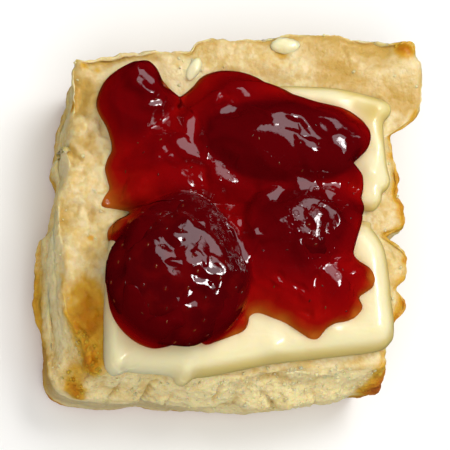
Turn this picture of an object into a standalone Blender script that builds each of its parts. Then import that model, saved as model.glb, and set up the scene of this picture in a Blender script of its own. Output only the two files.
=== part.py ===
"""Half of a square buttermilk biscuit, with two pats of butter, jam and whole strawberries.

The frame is in metres with +Z up. The origin is the middle of the flat base. +X runs to the
right and +Y to the back of the biscuit when it is looked down on from the front. Sizes below
are in millimetres and are turned into metres where a mesh is made.
"""

import math
from typing import NamedTuple

import bmesh
import bpy
import numpy as np

MM = 0.001

# Heights of the biscuit: its split top, the fall to the rim, and its widest line
TOP = 20.0
RIM_DROP = 0.9
BELLY_SIDE = 9.0
BELLY_FRONT = 13.0
FRONT_FROM, FRONT_TO = 0.45, 0.8

# Base of the biscuit: how far it draws in, and its rounded lower edge
BASE_INSET = 1.3
BASE_EDGE = 0.9
BASE_ROUND = 0.6
BASE_HOLD = 0.35
BASE_RINGS = (0.5, 0.9)

# Side wall of the biscuit: where each flaky layer starts, as a share of the wall's height
LAYER_STARTS = (0.0, 0.17, 0.42, 0.6, 0.82)
LAYER_ROWS = (0.0, 0.3, 0.78)
LAYER_FORM = (-1.0, 0.35, 0.5)
LAYER_ROUND = 30.0
LAYER_APART = 40.0
BISCUIT_SPOKES = 126

# Unevenness of the layers: size, length of its waves and seed
GROOVE, GROOVE_WAVES, GROOVE_SEED = 0.6, 14.0, 40
SLIP, SLIP_WAVES, SLIP_SEED = 0.8, 17.0, 20
LIFT, LIFT_WAVES, LIFT_SEED = 0.9, 22.0, 60

# Top of the biscuit, which is flat where butter and jam lie and uneven round them
TOP_RINGS = (0.975, 0.94, 0.89, 0.82, 0.73, 0.6)
RELIEF, RELIEF_WAVES, RELIEF_SEED = 0.75, 13.0, 5
RELIEF_SINK = 0.25
EDGE_FALL = 0.35
SEAT_MARGIN = 2.5
SEAT_SPREAD = math.radians(4.0)

# Edge of the split top, from the back left corner round by the right
RIM_OUTLINE = (
    (-29.4, 27.0), (-25.0, 28.3), (-15.0, 30.0), (-8.8, 30.6), (-6.4, 32.6), (5.0, 33.2),
    (10.0, 34.4), (18.7, 35.2), (22.0, 34.0), (29.2, 34.0), (33.2, 34.6), (34.8, 30.4),
    (34.3, 22.4), (33.2, 19.7), (30.1, 17.2), (29.2, 14.5), (30.5, 6.0), (31.3, 0.5),
    (31.4, -6.5), (31.5, -15.0), (29.4, -18.2), (28.9, -22.5), (26.4, -26.8), (14.0, -27.8),
    (0.0, -29.0), (-14.0, -29.6), (-24.0, -28.8), (-28.2, -24.5), (-30.5, -18.2),
    (-31.8, -7.0), (-32.6, 1.5), (-30.6, 8.2), (-31.0, 11.6), (-29.8, 18.0),
)

# Widest line of the layers below, in the same order
BELLY_OUTLINE = (
    (-28.2, 25.5), (-24.0, 27.6), (-8.0, 30.6), (8.0, 33.0), (24.0, 33.2), (32.6, 32.4),
    (33.6, 26.0), (32.6, 19.0), (29.6, 13.0), (30.4, 2.0), (30.6, -9.0), (30.2, -17.0),
    (28.6, -24.0), (26.6, -30.8), (22.0, -30.8), (17.0, -33.0), (8.0, -34.2), (-2.6, -34.4),
    (-12.0, -33.8), (-15.4, -32.6), (-21.0, -33.4), (-30.2, -32.2), (-32.4, -29.0),
    (-33.2, -22.0), (-34.6, -14.0), (-34.8, -4.0), (-33.0, -1.6), (-31.4, 6.0),
    (-31.8, 9.8), (-30.8, 16.0), (-28.9, 21.5),
)

# Nicks in the toasted rim: direction in degrees, depth and half width in degrees
RIM_NICKS = ((-4.6, 4.2, 2.8), (-21.5, 2.0, 2.6), (10.5, 0.8, 3.0), (43.5, 1.0, 1.6))

# Butter: the gap under it, its sharp lower edge and the hollow of its soft middle
GAP = 0.3
UNDER_INSET = 0.5
MIDDLE_RING = 0.5
BUTTER_EDGE = 0.35
BUTTER_DIP = 0.12
BUTTER_DIP_RING = 0.3
FRONT_PAT_CENTRE = (2.0, -14.5)
FRONT_PAT_THICKNESS = 4.8
FRONT_PAT_ROUNDING = 4.2
FRONT_PAT_OUTLINE = (
    (22.4, -0.2), (25.2, -2.8), (27.2, -7.0), (28.0, -12.0), (28.3, -17.5), (28.8, -20.6),
    (26.6, -23.5), (18.5, -25.4), (8.0, -26.8), (-2.5, -28.8), (-8.2, -29.5), (-10.6, -31.0),
    (-13.0, -29.0), (-19.5, -28.8), (-22.4, -29.8), (-24.0, -26.5), (-24.3, -16.0),
    (-23.0, -3.4), (-20.4, -0.6), (0.0, -0.2), (16.0, -0.2),
)
BACK_PAT_CENTRE = (6.0, 12.5)
BACK_PAT_THICKNESS = 3.0
BACK_PAT_ROUNDING = 2.6
BACK_PAT_OUTLINE = (
    (-2.0, 23.6), (7.5, 24.6), (14.5, 24.9), (21.0, 24.7), (26.2, 23.4), (28.9, 21.9),
    (28.6, 19.8), (27.6, 17.5), (27.8, 12.5), (28.4, 8.0), (27.9, 5.6), (25.2, 3.0),
    (21.5, 1.7), (6.0, 1.2), (-12.0, 1.2), (-20.0, 1.3), (-21.0, 4.6), (-18.0, 10.5),
    (-10.0, 18.5),
)
PAT_SPOKES = 44
PAT_TOP_STEPS = (0.0, 0.45, 1.1, 2.1, 3.6, 6.5)
DABS = (
    ("butter_dab_back", (9.4, 32.8), (5.2, 3.0, 1.8), 4.0),
    ("butter_dab_left", (-8.4, 26.9), (2.5, 2.8, 1.5), 20.0),
)
DAB_UNDER = 0.12
DAB_SPOKES, DAB_RINGS = 14, 8

# Strawberries
BERRY_SPOKES, BERRY_RINGS = 22, 12
DENT, DENT_WAVES = 0.28, 7.0
TAPER_FROM, TAPER_TO = -0.2, 1.1


class Berry(NamedTuple):
    """A slumped strawberry: its middle, half sizes, depth below the middle, tip and taper."""

    name: str
    middle: tuple
    half: tuple
    depth: float
    heading: float
    taper: float


BERRIES = (
    Berry("strawberry_front", (-12.4, -11.8, 30.7), (13.4, 12.6, 6.4), 4.4, 80.0, 0.3),
    Berry("strawberry_back", (7.7, 12.0, 28.9), (14.9, 7.5, 6.0), 4.4, -6.0, 0.16),
    Berry("strawberry_middle", (8.8, -4.0, 30.3), (9.3, 7.0, 4.9), 4.0, 200.0, 0.22),
    Berry("strawberry_left", (-20.4, 19.8, 24.9), (7.4, 5.8, 4.8), 3.7, 62.0, 0.12),
)

# Jam
JAM_CENTRE = (-2.0, 0.0)
JAM_OUTLINE = (
    (-27.0, 18.4), (-25.4, 23.0), (-21.6, 27.0), (-18.2, 27.8), (-14.6, 24.8), (-12.4, 20.8),
    (-8.6, 24.0), (-4.8, 26.6), (-0.6, 27.0), (4.4, 25.0), (11.4, 21.8), (19.0, 20.6),
    (23.2, 18.2), (24.4, 14.2), (22.2, 10.0), (20.6, 8.0), (21.8, 6.4), (22.4, 2.0),
    (21.4, -2.4), (20.2, -7.0), (23.0, -9.0), (24.6, -11.0), (22.4, -14.6), (21.6, -17.6),
    (17.6, -19.8), (12.6, -22.6), (8.0, -21.0), (3.4, -20.2), (-1.2, -22.8), (-9.0, -24.8),
    (-17.4, -25.0), (-22.4, -21.2), (-25.0, -15.0), (-24.8, -7.0), (-22.0, -3.0),
    (-24.4, 0.6), (-24.0, 6.4), (-23.8, 10.0), (-25.6, 13.6),
)
JAM_SPOKES = 76
JAM_RINGS = (0.985, 0.955, 0.91, 0.84, 0.75, 0.65, 0.54, 0.42, 0.28, 0.13)
JAM_EDGE = 1.2
POOL_DEPTH = 4.0
POOL_SLOPE = 1.9
RIPPLE, RIPPLE_WAVES, RIPPLE_SEED = 0.3, 8.0, 11
COLLAR = 0.25
COLLAR_REACH = 1.45
COLLAR_SLOPE = 0.75
STEP_OUT, STEP_IN = -0.8, 2.2

# Colours and finish of each piece: base colour, roughness
BREAD_LOOK = ((0.74, 0.56, 0.29), 0.75)
BUTTER_LOOK = ((0.90, 0.82, 0.52), 0.32)
JAM_LOOK = ((0.26, 0.005, 0.006), 0.08)
BERRY_LOOK = ((0.11, 0.004, 0.006), 0.12)


def clear_scene():
    """Removes every object that the file opens with."""
    for thing in list(bpy.data.objects):
        bpy.data.objects.remove(thing, do_unlink=True)


def new_collection(name, parent):
    """Makes a collection under another one and returns it."""
    collection = bpy.data.collections.new(name)
    parent.children.link(collection)
    return collection


def finish(name, look):
    """Makes a plain material from a base colour and a roughness."""
    colour, roughness = look
    material = bpy.data.materials.new(name)
    material.use_nodes = True
    shader = material.node_tree.nodes["Principled BSDF"]
    shader.inputs["Base Color"].default_value = (*colour, 1.0)
    shader.inputs["Roughness"].default_value = roughness
    shader.inputs["Metallic"].default_value = 0.0
    material.diffuse_color = (*colour, 1.0)
    return material


def directions(count):
    """Evenly spaced directions round the full turn, in radians."""
    return np.arange(count) * (2.0 * math.pi / count)


def smooth_curve(outline):
    """Points close together on a smooth closed curve through an outline's points."""
    points = np.array(outline)
    before, after = np.roll(points, 1, axis=0), np.roll(points, -1, axis=0)
    beyond = np.roll(points, -2, axis=0)
    samples = []
    for step in np.linspace(0.0, 1.0, 12, endpoint=False):
        samples.append(0.5 * (
            2.0 * points + (after - before) * step
            + (2.0 * before - 5.0 * points + 4.0 * after - beyond) * step ** 2
            + (3.0 * points - before - 3.0 * after + beyond) * step ** 3))
    return np.concatenate(samples)


def radius_along(outline, centre, angles):
    """Distance from a centre to a smooth closed curve through the points, in each direction."""
    curve = smooth_curve(outline) - np.array(centre)
    bearing = np.arctan2(curve[:, 1], curve[:, 0])
    order = np.argsort(bearing)
    return np.interp(angles, bearing[order], np.hypot(*curve[order].T), period=2.0 * math.pi)


def distance_in(outline, x, y):
    """Distance from points inside an outline to its curve."""
    curve = smooth_curve(outline)
    return np.hypot(x[:, None] - curve[:, 0], y[:, None] - curve[:, 1]).min(axis=1)


def swell(points, wavelength, seed, waves=9):
    """Smooth noise between about -1 and 1: a sum of plane waves in seeded directions."""
    random = np.random.default_rng(seed)
    heading = random.normal(size=(waves, points.shape[-1]))
    heading /= np.linalg.norm(heading, axis=1)[:, None]
    scale = random.uniform(0.7, 1.5, waves) * 2.0 * math.pi / wavelength
    phase = random.uniform(0.0, 2.0 * math.pi, waves)
    sines = np.sin(points @ (heading * scale[:, None]).T + phase)
    return sines.sum(axis=-1) / math.sqrt(2 * waves)


def bell(distance, width):
    """A smooth hump of height 1 that fades out over a width."""
    return np.exp(-(distance / width) ** 2)


def ramp(value, start, end):
    """Goes smoothly from 0 at start to 1 at end."""
    share = np.clip((value - start) / (end - start), 0.0, 1.0)
    return share * share * (3.0 - 2.0 * share)


def turned(angles, direction):
    """How far each angle is from a direction in degrees, in degrees."""
    away = np.degrees(angles) - direction
    return (away + 180.0) % 360.0 - 180.0


def ring(radius, angles, height, centre=(0.0, 0.0)):
    """Points at a radius from a centre in each direction, at the given heights."""
    x = centre[0] + radius * np.cos(angles)
    y = centre[1] + radius * np.sin(angles)
    return np.stack([x, y, np.broadcast_to(height, x.shape)], axis=1)


def loft(name, rings, look, collection):
    """Closed skin over rings of points from the bottom to the top, with a fan at both ends."""
    count = len(rings[0])
    ends = [rings[0].mean(axis=0), rings[-1].mean(axis=0)]
    points = np.concatenate([*rings, ends]) * MM
    faces = []
    for row in range(len(rings) - 1):
        for spoke in range(count):
            beside = (spoke + 1) % count
            low, high = row * count, (row + 1) * count
            faces.append((low + spoke, low + beside, high + beside))
            faces.append((low + spoke, high + beside, high + spoke))
    bottom, top = len(points) - 2, len(points) - 1
    last = (len(rings) - 1) * count
    for spoke in range(count):
        beside = (spoke + 1) % count
        faces.append((bottom, beside, spoke))
        faces.append((top, last + spoke, last + beside))
    mesh = bpy.data.meshes.new(name)
    mesh.from_pydata(points.tolist(), [], faces)
    mesh.update()
    piece = bpy.data.objects.new(name, mesh)
    mesh.materials.append(finish(name, look))
    mesh.shade_smooth()
    collection.objects.link(piece)
    return piece


def covered_radius(angles):
    """How far the butter and the jam reach from the middle in each direction."""
    reach = np.zeros_like(angles)
    for outline in (FRONT_PAT_OUTLINE, BACK_PAT_OUTLINE, JAM_OUTLINE):
        points = np.array(outline)
        closed = np.concatenate([points, points[:1]])
        steps = np.linspace(0.0, 1.0, 8, endpoint=False)[:, None, None]
        along = (closed[:-1] * (1.0 - steps) + closed[1:] * steps).reshape(-1, 2)
        bearing = np.arctan2(along[:, 1], along[:, 0])
        away = (bearing[None, :] - angles[:, None] + math.pi) % (2.0 * math.pi) - math.pi
        near = np.abs(away) < SEAT_SPREAD
        reach = np.maximum(reach, np.where(near, np.hypot(*along.T), 0.0).max(axis=1))
    return reach


def biscuit_wall(angles, rim, belly):
    """Rings of the side wall: flaky layers, each a rounded lip over a groove."""
    front = ramp(-np.sin(angles), FRONT_FROM, FRONT_TO)
    belly_height = BELLY_SIDE + (BELLY_FRONT - BELLY_SIDE) * front
    rim_height = TOP - RIM_DROP
    rings = []
    for layer, start in enumerate(LAYER_STARTS):
        end = (*LAYER_STARTS, 1.0)[layer + 1]
        around = ring(LAYER_ROUND, angles, LAYER_APART * layer)
        slip = SLIP * swell(around, SLIP_WAVES, SLIP_SEED + layer)
        groove = GROOVE * (1.0 + swell(around, GROOVE_WAVES, GROOVE_SEED + layer))
        wave = LIFT * swell(around, LIFT_WAVES, LIFT_SEED + layer)
        for share, form in zip(LAYER_ROWS, LAYER_FORM):
            level = start + (end - start) * share
            height = BASE_EDGE + (rim_height - BASE_EDGE) * level
            lower = np.clip(height / belly_height, 0.0, 1.0)
            upper = np.clip((height - belly_height) / (rim_height - belly_height), 0.0, 1.0)
            radius = belly - BASE_INSET * (1.0 - lower) ** 2 + (rim - belly) * upper
            free = math.sin(math.pi * level) ** 0.5 if layer else BASE_HOLD
            offset = (slip * (form > -1.0) + groove * form) * free
            rings.append(ring(radius + offset, angles, height + wave * free))
    return rings


def build_biscuit(collection):
    """The half biscuit: flat base, flaky side wall, toasted rim and an uneven split top."""
    angles = directions(BISCUIT_SPOKES)
    rim = radius_along(RIM_OUTLINE, (0.0, 0.0), angles)
    for direction, depth, width in RIM_NICKS:
        rim = rim - depth * bell(turned(angles, direction), width)
    belly = radius_along(BELLY_OUTLINE, (0.0, 0.0), angles)
    base = belly - BASE_INSET
    rings = [ring(base * share, angles, 0.0) for share in BASE_RINGS]
    rings.append(ring(base - BASE_ROUND, angles, 0.0))
    rings += biscuit_wall(angles, rim, belly)
    rings.append(ring(rim, angles, TOP - RIM_DROP))
    seat = covered_radius(angles)
    for share in TOP_RINGS:
        flat = ring(rim * share, angles, TOP)
        shown = ramp(rim * share - seat, 0.0, SEAT_MARGIN)
        relief = RELIEF * swell(flat[:, :2], RELIEF_WAVES, RELIEF_SEED) - RELIEF_SINK
        flat[:, 2] = TOP + relief * shown - (EDGE_FALL if share == TOP_RINGS[0] else 0.0)
        rings.append(flat)
    return loft("biscuit", rings, BREAD_LOOK, collection)


def build_pat(name, outline, centre, thickness, rounding, collection):
    """A soft pat of butter: a flat slab whose edge rolls over in a quarter of an ellipse."""
    angles = directions(PAT_SPOKES)
    reach = radius_along(outline, centre, angles)
    low = TOP + GAP
    rings = [ring(reach * MIDDLE_RING, angles, low, centre)]
    rings.append(ring(reach - UNDER_INSET, angles, low, centre))
    for inward in PAT_TOP_STEPS:
        share = min(inward / rounding, 1.0)
        rise = math.sqrt(1.0 - (1.0 - share) ** 2)
        height = low + BUTTER_EDGE + (thickness - BUTTER_EDGE) * rise
        rings.append(ring(reach - inward, angles, height, centre))
    middle = low + thickness * (1.0 - BUTTER_DIP)
    rings.append(ring(reach * BUTTER_DIP_RING, angles, middle, centre))
    return loft(name, rings, BUTTER_LOOK, collection)


def rounded_lump(name, middle, half, heading, change, look, spokes, rings, collection):
    """A sphere stretched to half sizes, reshaped by a function, turned and put in place."""
    mesh = bpy.data.meshes.new(name)
    shape = bmesh.new()
    bmesh.ops.create_uvsphere(shape, u_segments=spokes, v_segments=rings, radius=1.0)
    bmesh.ops.triangulate(shape, faces=shape.faces[:])
    shape.to_mesh(mesh)
    shape.free()
    ball = np.empty(len(mesh.vertices) * 3)
    mesh.vertices.foreach_get("co", ball)
    points = change(ball.reshape(-1, 3)) * np.array(half)
    turn = math.radians(heading)
    spin = np.array(((math.cos(turn), math.sin(turn)), (-math.sin(turn), math.cos(turn))))
    points[:, :2] = points[:, :2] @ spin
    points = (points + np.array(middle)) * MM
    mesh.vertices.foreach_set("co", points.ravel())
    mesh.update()
    mesh.materials.append(finish(name, look))
    mesh.shade_smooth()
    piece = bpy.data.objects.new(name, mesh)
    collection.objects.link(piece)
    return piece


def build_berry(berry, collection):
    """A slumped strawberry: a ball that narrows to its tip, flatter below, with soft dents."""
    def slump(ball):
        narrow = 1.0 - berry.taper * ramp(ball[:, 0], TAPER_FROM, TAPER_TO)
        sunk = np.where(ball[:, 2] < 0.0, berry.depth / berry.half[2], 1.0)
        bumps = swell(ball * np.array(berry.half), DENT_WAVES, len(berry.name))
        dents = 1.0 + DENT / berry.half[2] * bumps
        return ball * np.stack([dents, narrow * dents, narrow * dents * sunk], axis=1)
    return rounded_lump(berry.name, berry.middle, berry.half, berry.heading, slump,
                        BERRY_LOOK, BERRY_SPOKES, BERRY_RINGS, collection)


def build_dab(name, place, size, heading, collection):
    """A small dab of butter that lies on the bread, flat below."""
    half = (size[0] / 2.0, size[1] / 2.0, size[2])

    def flatten(ball):
        return ball * np.where(ball[:, 2:] < 0.0, (1.0, 1.0, DAB_UNDER), (1.0, 1.0, 1.0))
    height = TOP + GAP + RELIEF + DAB_UNDER * size[2]
    return rounded_lump(name, (*place, height), half, heading, flatten, BUTTER_LOOK,
                        DAB_SPOKES, DAB_RINGS, collection)


def pat_cover(x, y, outline, centre):
    """1 well inside a pat's outline and 0 outside it."""
    angles = np.arctan2(y - centre[1], x - centre[0])
    inward = radius_along(outline, centre, angles) - np.hypot(x - centre[0], y - centre[1])
    return ramp(inward, STEP_OUT, STEP_IN)


def jam_height(x, y):
    """Height of the jam: a pool over bread and butter that climbs round each berry.

    The pool rises from its edge by an exponential, and a collar lifts it to just over each
    berry's middle and fades out at COLLAR_REACH times the berry's own half sizes.
    """
    inward = distance_in(JAM_OUTLINE, x, y)
    front = pat_cover(x, y, FRONT_PAT_OUTLINE, FRONT_PAT_CENTRE) * FRONT_PAT_THICKNESS
    back = pat_cover(x, y, BACK_PAT_OUTLINE, BACK_PAT_CENTRE) * BACK_PAT_THICKNESS
    floor = TOP + GAP + JAM_EDGE + np.maximum(front, back)
    rise = 1.0 - np.exp(-inward / POOL_SLOPE)
    lift = np.full_like(x, POOL_DEPTH)
    for berry in BERRIES:
        east, north = x - berry.middle[0], y - berry.middle[1]
        turn = math.radians(berry.heading)
        along = (east * math.cos(turn) + north * math.sin(turn)) / berry.half[0]
        across = (north * math.cos(turn) - east * math.sin(turn)) / berry.half[1]
        near = 1.0 - ramp(np.hypot(along, across), 1.0, COLLAR_REACH)
        collar = (berry.middle[2] + COLLAR * berry.half[2] - floor) * near
        lift = np.maximum(lift, collar)
        rise = rise + (1.0 - np.exp(-inward / COLLAR_SLOPE) - rise) * near
    ripple = RIPPLE * swell(np.stack([x, y], axis=1), RIPPLE_WAVES, RIPPLE_SEED)
    return floor + lift * rise + ripple


def grown_cutter(piece, cutters):
    """A copy of a piece with its skin moved outwards by the gap, kept as a cutter."""
    copy = piece.copy()
    copy.data = piece.data.copy()
    copy.name = piece.name + "_cutter"
    outward = [normal.vector.copy() for normal in piece.data.vertex_normals]
    for vertex, normal in zip(copy.data.vertices, outward):
        vertex.co += normal * GAP * MM
    copy.hide_render = True
    copy.display_type = "WIRE"
    cutters.objects.link(copy)
    return copy


def build_jam(others, collection, cutters):
    """The jam: a lens over bread and butter, with a pocket cut for all that it touches."""
    angles = directions(JAM_SPOKES)
    reach = radius_along(JAM_OUTLINE, JAM_CENTRE, angles)
    low = TOP + GAP
    rings = [ring(reach * MIDDLE_RING, angles, low, JAM_CENTRE)]
    rings.append(ring(reach - UNDER_INSET, angles, low, JAM_CENTRE))
    rings.append(ring(reach, angles, low + JAM_EDGE / 2.0, JAM_CENTRE))
    for share in JAM_RINGS:
        level = ring(reach * share, angles, 0.0, JAM_CENTRE)
        level[:, 2] = jam_height(level[:, 0], level[:, 1])
        rings.append(level)
    jam = loft("jam", rings, JAM_LOOK, collection)
    for piece in others:
        pocket = jam.modifiers.new("pocket_" + piece.name, "BOOLEAN")
        pocket.operation = "DIFFERENCE"
        pocket.solver = "EXACT"
        pocket.object = grown_cutter(piece, cutters)
    return jam


def main():
    """Builds every piece of the part."""
    clear_scene()
    part = new_collection("jam_biscuit", bpy.context.scene.collection)
    cutters = new_collection("cutters", bpy.context.scene.collection)
    build_biscuit(part)
    inner = [
        build_pat("butter_front", FRONT_PAT_OUTLINE, FRONT_PAT_CENTRE,
                  FRONT_PAT_THICKNESS, FRONT_PAT_ROUNDING, part),
        build_pat("butter_back", BACK_PAT_OUTLINE, BACK_PAT_CENTRE,
                  BACK_PAT_THICKNESS, BACK_PAT_ROUNDING, part),
    ]
    for name, place, size, heading in DABS:
        build_dab(name, place, size, heading, part)
    inner += [build_berry(berry, part) for berry in BERRIES]
    build_jam(inner, part, cutters)


main()
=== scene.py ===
"""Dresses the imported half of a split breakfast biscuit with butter, strawberry jam and fruit.

Every solid is worked out again here as a fine surface in its own place, in millimetres: the torn
crumb and toasted rim, two soft pats of butter, one pool of jam and the strawberries that stand in
it. Each surface is an array of points, and each finish is a small shader.
"""

import itertools
import logging
import math
from dataclasses import dataclass
from enum import Enum, IntEnum
from functools import lru_cache

import bpy
import numpy as np
from mathutils import Matrix, Vector


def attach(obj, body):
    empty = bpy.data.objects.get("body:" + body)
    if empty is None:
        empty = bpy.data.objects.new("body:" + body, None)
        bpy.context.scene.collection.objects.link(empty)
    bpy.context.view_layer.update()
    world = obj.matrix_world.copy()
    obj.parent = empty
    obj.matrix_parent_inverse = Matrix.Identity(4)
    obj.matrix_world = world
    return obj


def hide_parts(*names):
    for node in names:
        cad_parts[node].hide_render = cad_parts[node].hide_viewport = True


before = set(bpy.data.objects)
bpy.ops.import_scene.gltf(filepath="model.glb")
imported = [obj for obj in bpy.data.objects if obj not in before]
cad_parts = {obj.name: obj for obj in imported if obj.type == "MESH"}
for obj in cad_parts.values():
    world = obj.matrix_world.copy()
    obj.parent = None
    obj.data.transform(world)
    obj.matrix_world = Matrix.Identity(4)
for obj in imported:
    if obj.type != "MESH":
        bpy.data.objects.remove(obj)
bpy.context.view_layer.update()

LOG = logging.getLogger("biscuit")
MM = 0.001
FULL_TURN = 2.0 * math.pi
Array = np.ndarray
Colour = tuple[float, float, float]

# The spacing of an outline's table of distances and how far it goes beyond the line, in
# millimetres, and how many distances are measured at a time.
TABLE_STEP = 0.4
TABLE_MARGIN = 6.0
CHUNK = 4000
# The seeded tables that every noise here is read from.
TABLE_SIZE = 256
DRAWS = np.random.default_rng(2024)
SHUFFLE = DRAWS.permutation(TABLE_SIZE)
HEADINGS = DRAWS.normal(size=(TABLE_SIZE, 3))
HEADINGS /= np.linalg.norm(HEADINGS, axis=1, keepdims=True)
SPOTS = DRAWS.random((TABLE_SIZE, 3))
# Wet surfaces mirror the lamps and each other, as in the photograph, but not these pale finishes.
PALE = ("bread", "butter")
# How a wet surface falls, per millimetre to the right and back, where it mirrors the softbox, the
# small bright lamp or nothing.
SOFT_SLOPE = (-0.133, -0.174)
BRIGHT_SLOPE = (-0.234, 0.024)
DULL_SLOPE = (0.03, 0.06)
# How much of such a flat's plane shows in its middle.
SHEEN_SHARE = 0.85
# The height in millimetres of a pat where there is none.
FAR_BELOW = -100.0
# What every wet finish has besides its own colour and roughness.
WET = {"IOR": 1.45, "Coat Weight": 0.4, "Coat Roughness": 0.02}


class Mark(Enum):
    """What a point of a surface says to its finish, each a number from about 0 to 1."""

    BROWNING = "browning"
    HOLLOW = "hollow"
    DEPTH = "depth"
    # Painted shade: the darker, yellower sides of butter and the unlit foot of the bread's front wall.
    SIDE = "side"
    STAIN = "stain"
    FROTH = "froth"
    WAX = "wax"


def ramp(value: Array, start: float, end: float) -> Array:
    """Goes from 0 at start to 1 at end by the cubic 3s^2 - 2s^3."""
    share = np.clip((value - start) / (end - start), 0.0, 1.0)
    return share * share * (3.0 - 2.0 * share)


def bell(distance: Array, width: float) -> Array:
    """A hump exp(-(distance / width)^2) that is 1 in the middle."""
    return np.exp(-(distance / width) ** 2)


def merged(first: Array, second: Array, blend: float) -> Array:
    """The higher of two surfaces, with a fillet up to blend / 4 high where they are near each other."""
    near = np.clip(1.0 - np.abs(first - second) / blend, 0.0, 1.0)
    return np.maximum(first, second) + near * near * blend / 4.0


def cell_number(cells: Array, seed: int) -> Array:
    """A seeded number below TABLE_SIZE for each whole-number cell of a lattice."""
    x, y, z = np.moveaxis(cells.astype(np.int64) + 37 * seed, -1, 0) % TABLE_SIZE
    return SHUFFLE[(SHUFFLE[(SHUFFLE[x] + y) % TABLE_SIZE] + z) % TABLE_SIZE]


def grain(points: Array, size: float, seed: int) -> Array:
    """Gradient noise: slopes drawn at the lattice corners, mixed by a quintic fade.

    Args:
        points: places in millimetres.
        size: the lattice's spacing in millimetres.
        seed: picks the pattern.

    Returns:
        A number between about -1 and 1 for each point.
    """
    scaled = points / size
    base = np.floor(scaled)
    part = scaled - base
    fade = part ** 3 * (part * (part * 6.0 - 15.0) + 10.0)
    total = np.zeros(points.shape[:-1])
    for corner in itertools.product((0.0, 1.0), repeat=3):
        weight = np.prod(np.where(np.array(corner) > 0.0, fade, 1.0 - fade), axis=-1)
        slope = HEADINGS[cell_number(base + corner, seed)]
        total += weight * np.sum(slope * (part - corner), axis=-1)
    return 1.7 * total


def rough(points: Array, size: float, seed: int, octaves: int = 3) -> Array:
    """A sum of grains, each half the size and half the height of the last: about -1.5 to 1.5."""
    return sum(grain(points, size / 2 ** k, seed + k) / 2 ** k for k in range(octaves))


def lumps(points: Array, size: float, seed: int) -> Array:
    """Rounded lumps with creases between: 1 less twice the squared distance to a cell's spot.

    Args:
        points: places in millimetres.
        size: the lumps' spacing in millimetres.
        seed: picks the pattern.

    Returns:
        A number from 1 on a lump's top to about -1 in a crease.
    """
    scaled = points / size
    base = np.floor(scaled)
    nearest = np.full(points.shape[:-1], np.inf)
    for step in itertools.product((-1.0, 0.0, 1.0), repeat=3):
        cell = base + step
        away = np.sum((cell + SPOTS[cell_number(cell, seed)] - scaled) ** 2, axis=-1)
        nearest = np.minimum(nearest, away)
    return 1.0 - 2.0 * np.minimum(nearest, 1.0)


def facets(points: Array, size: float, seed: int, sharpness: float = 8.0) -> Array:
    """Tilted flats that meet in soft ridges, as on set jelly, over the plane.

    Each cell of a square lattice has a spot and a plane through it. A point's height is the mean of
    the planes near it, weighed by exp(-sharpness d^2), d being its distance to their spots in cells.

    Args:
        points: places whose first two coordinates are used, in millimetres.
        size: the flats' spacing in millimetres.
        seed: picks the pattern.
        sharpness: how abruptly one flat gives way to the next.

    Returns:
        Heights in millimetres, for planes that fall by up to 1 in 1.
    """
    scaled = points[..., :2] / size
    base = np.floor(scaled)
    total = np.zeros(scaled.shape[:-1])
    weights = np.full(scaled.shape[:-1], 1e-9)
    for step in itertools.product((-1.0, 0.0, 1.0), repeat=2):
        cell = base + step
        number = cell_number(np.concatenate((cell, np.zeros_like(cell[..., :1])), axis=-1), seed)
        away = scaled - cell - SPOTS[number][..., :2]
        weight = np.exp(-sharpness * np.sum(away ** 2, axis=-1))
        total += weight * np.sum(HEADINGS[number][..., :2] * away, axis=-1)
        weights += weight
    return size * total / weights


def bent(points: Array, size: float, amount: float, seed: int) -> Array:
    """The points moved by up to an amount by three noises, to pull a pattern read there about."""
    return points + amount * np.stack([grain(points, size, seed + k) for k in range(3)], axis=-1)


def swell(points: Array, wavelength: float, seed: int, waves: int = 9) -> Array:
    """Smooth noise between about -1 and 1: a sum of plane waves in seeded directions.

    Args:
        points: places in millimetres, in two or three coordinates.
        wavelength: the waves' middle length in millimetres.
        seed: picks one of the patterns, the same as in the solids.
        waves: how many waves are added.

    Returns:
        One number for each point.
    """
    random = np.random.default_rng(seed)
    heading = random.normal(size=(waves, points.shape[-1]))
    heading /= np.linalg.norm(heading, axis=1)[:, None]
    scale = random.uniform(0.7, 1.5, waves) * FULL_TURN / wavelength
    phase = random.uniform(0.0, FULL_TURN, waves)
    return np.sin(points @ (heading * scale[:, None]).T + phase).sum(axis=-1) / math.sqrt(2 * waves)


def directions(spokes: int) -> Array:
    """Evenly spread angles round a full turn, in radians."""
    return np.linspace(0.0, FULL_TURN, spokes, endpoint=False)


def place(radius: Array, angles: Array, height: Array, centre: tuple[float, float] = (0.0, 0.0)) -> Array:
    """Points at a radius along each angle, at a height.

    Args:
        radius: distances from the centre.
        angles: their directions in radians.
        height: their heights.
        centre: the middle in the plane.

    Returns:
        An array with x, y and z along its last axis.
    """
    x = centre[0] + radius * np.cos(angles)
    y = centre[1] + radius * np.sin(angles)
    return np.stack(np.broadcast_arrays(x, y, height), axis=-1)


def bearing(points: Array) -> Array:
    """The direction of each point from the middle of the plane, in radians."""
    return np.arctan2(points[..., 1], points[..., 0])


def radius_of(points: Array) -> Array:
    """The distance of each point from the middle of the plane."""
    return np.hypot(points[..., 0], points[..., 1])


def flat(points: Array) -> Array:
    """The same points with their heights set to 0."""
    return points * np.array((1.0, 1.0, 0.0))


def unit(vectors: Array) -> Array:
    """The vectors at a length of 1."""
    return vectors / np.maximum(np.linalg.norm(vectors, axis=-1, keepdims=True), 1e-9)


def normals(rings: Array) -> Array:
    """Outward unit normals of a loft's rings: the cross product of its steps around and onward."""
    around = np.roll(rings, -1, axis=1) - np.roll(rings, 1, axis=1)
    return unit(np.cross(around, np.gradient(rings, axis=0)))


def chunks(places: Array) -> list[Array]:
    """The places in parts of about CHUNK, so that a table of their distances stays small."""
    return np.array_split(places, len(places) // CHUNK + 1)


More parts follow.
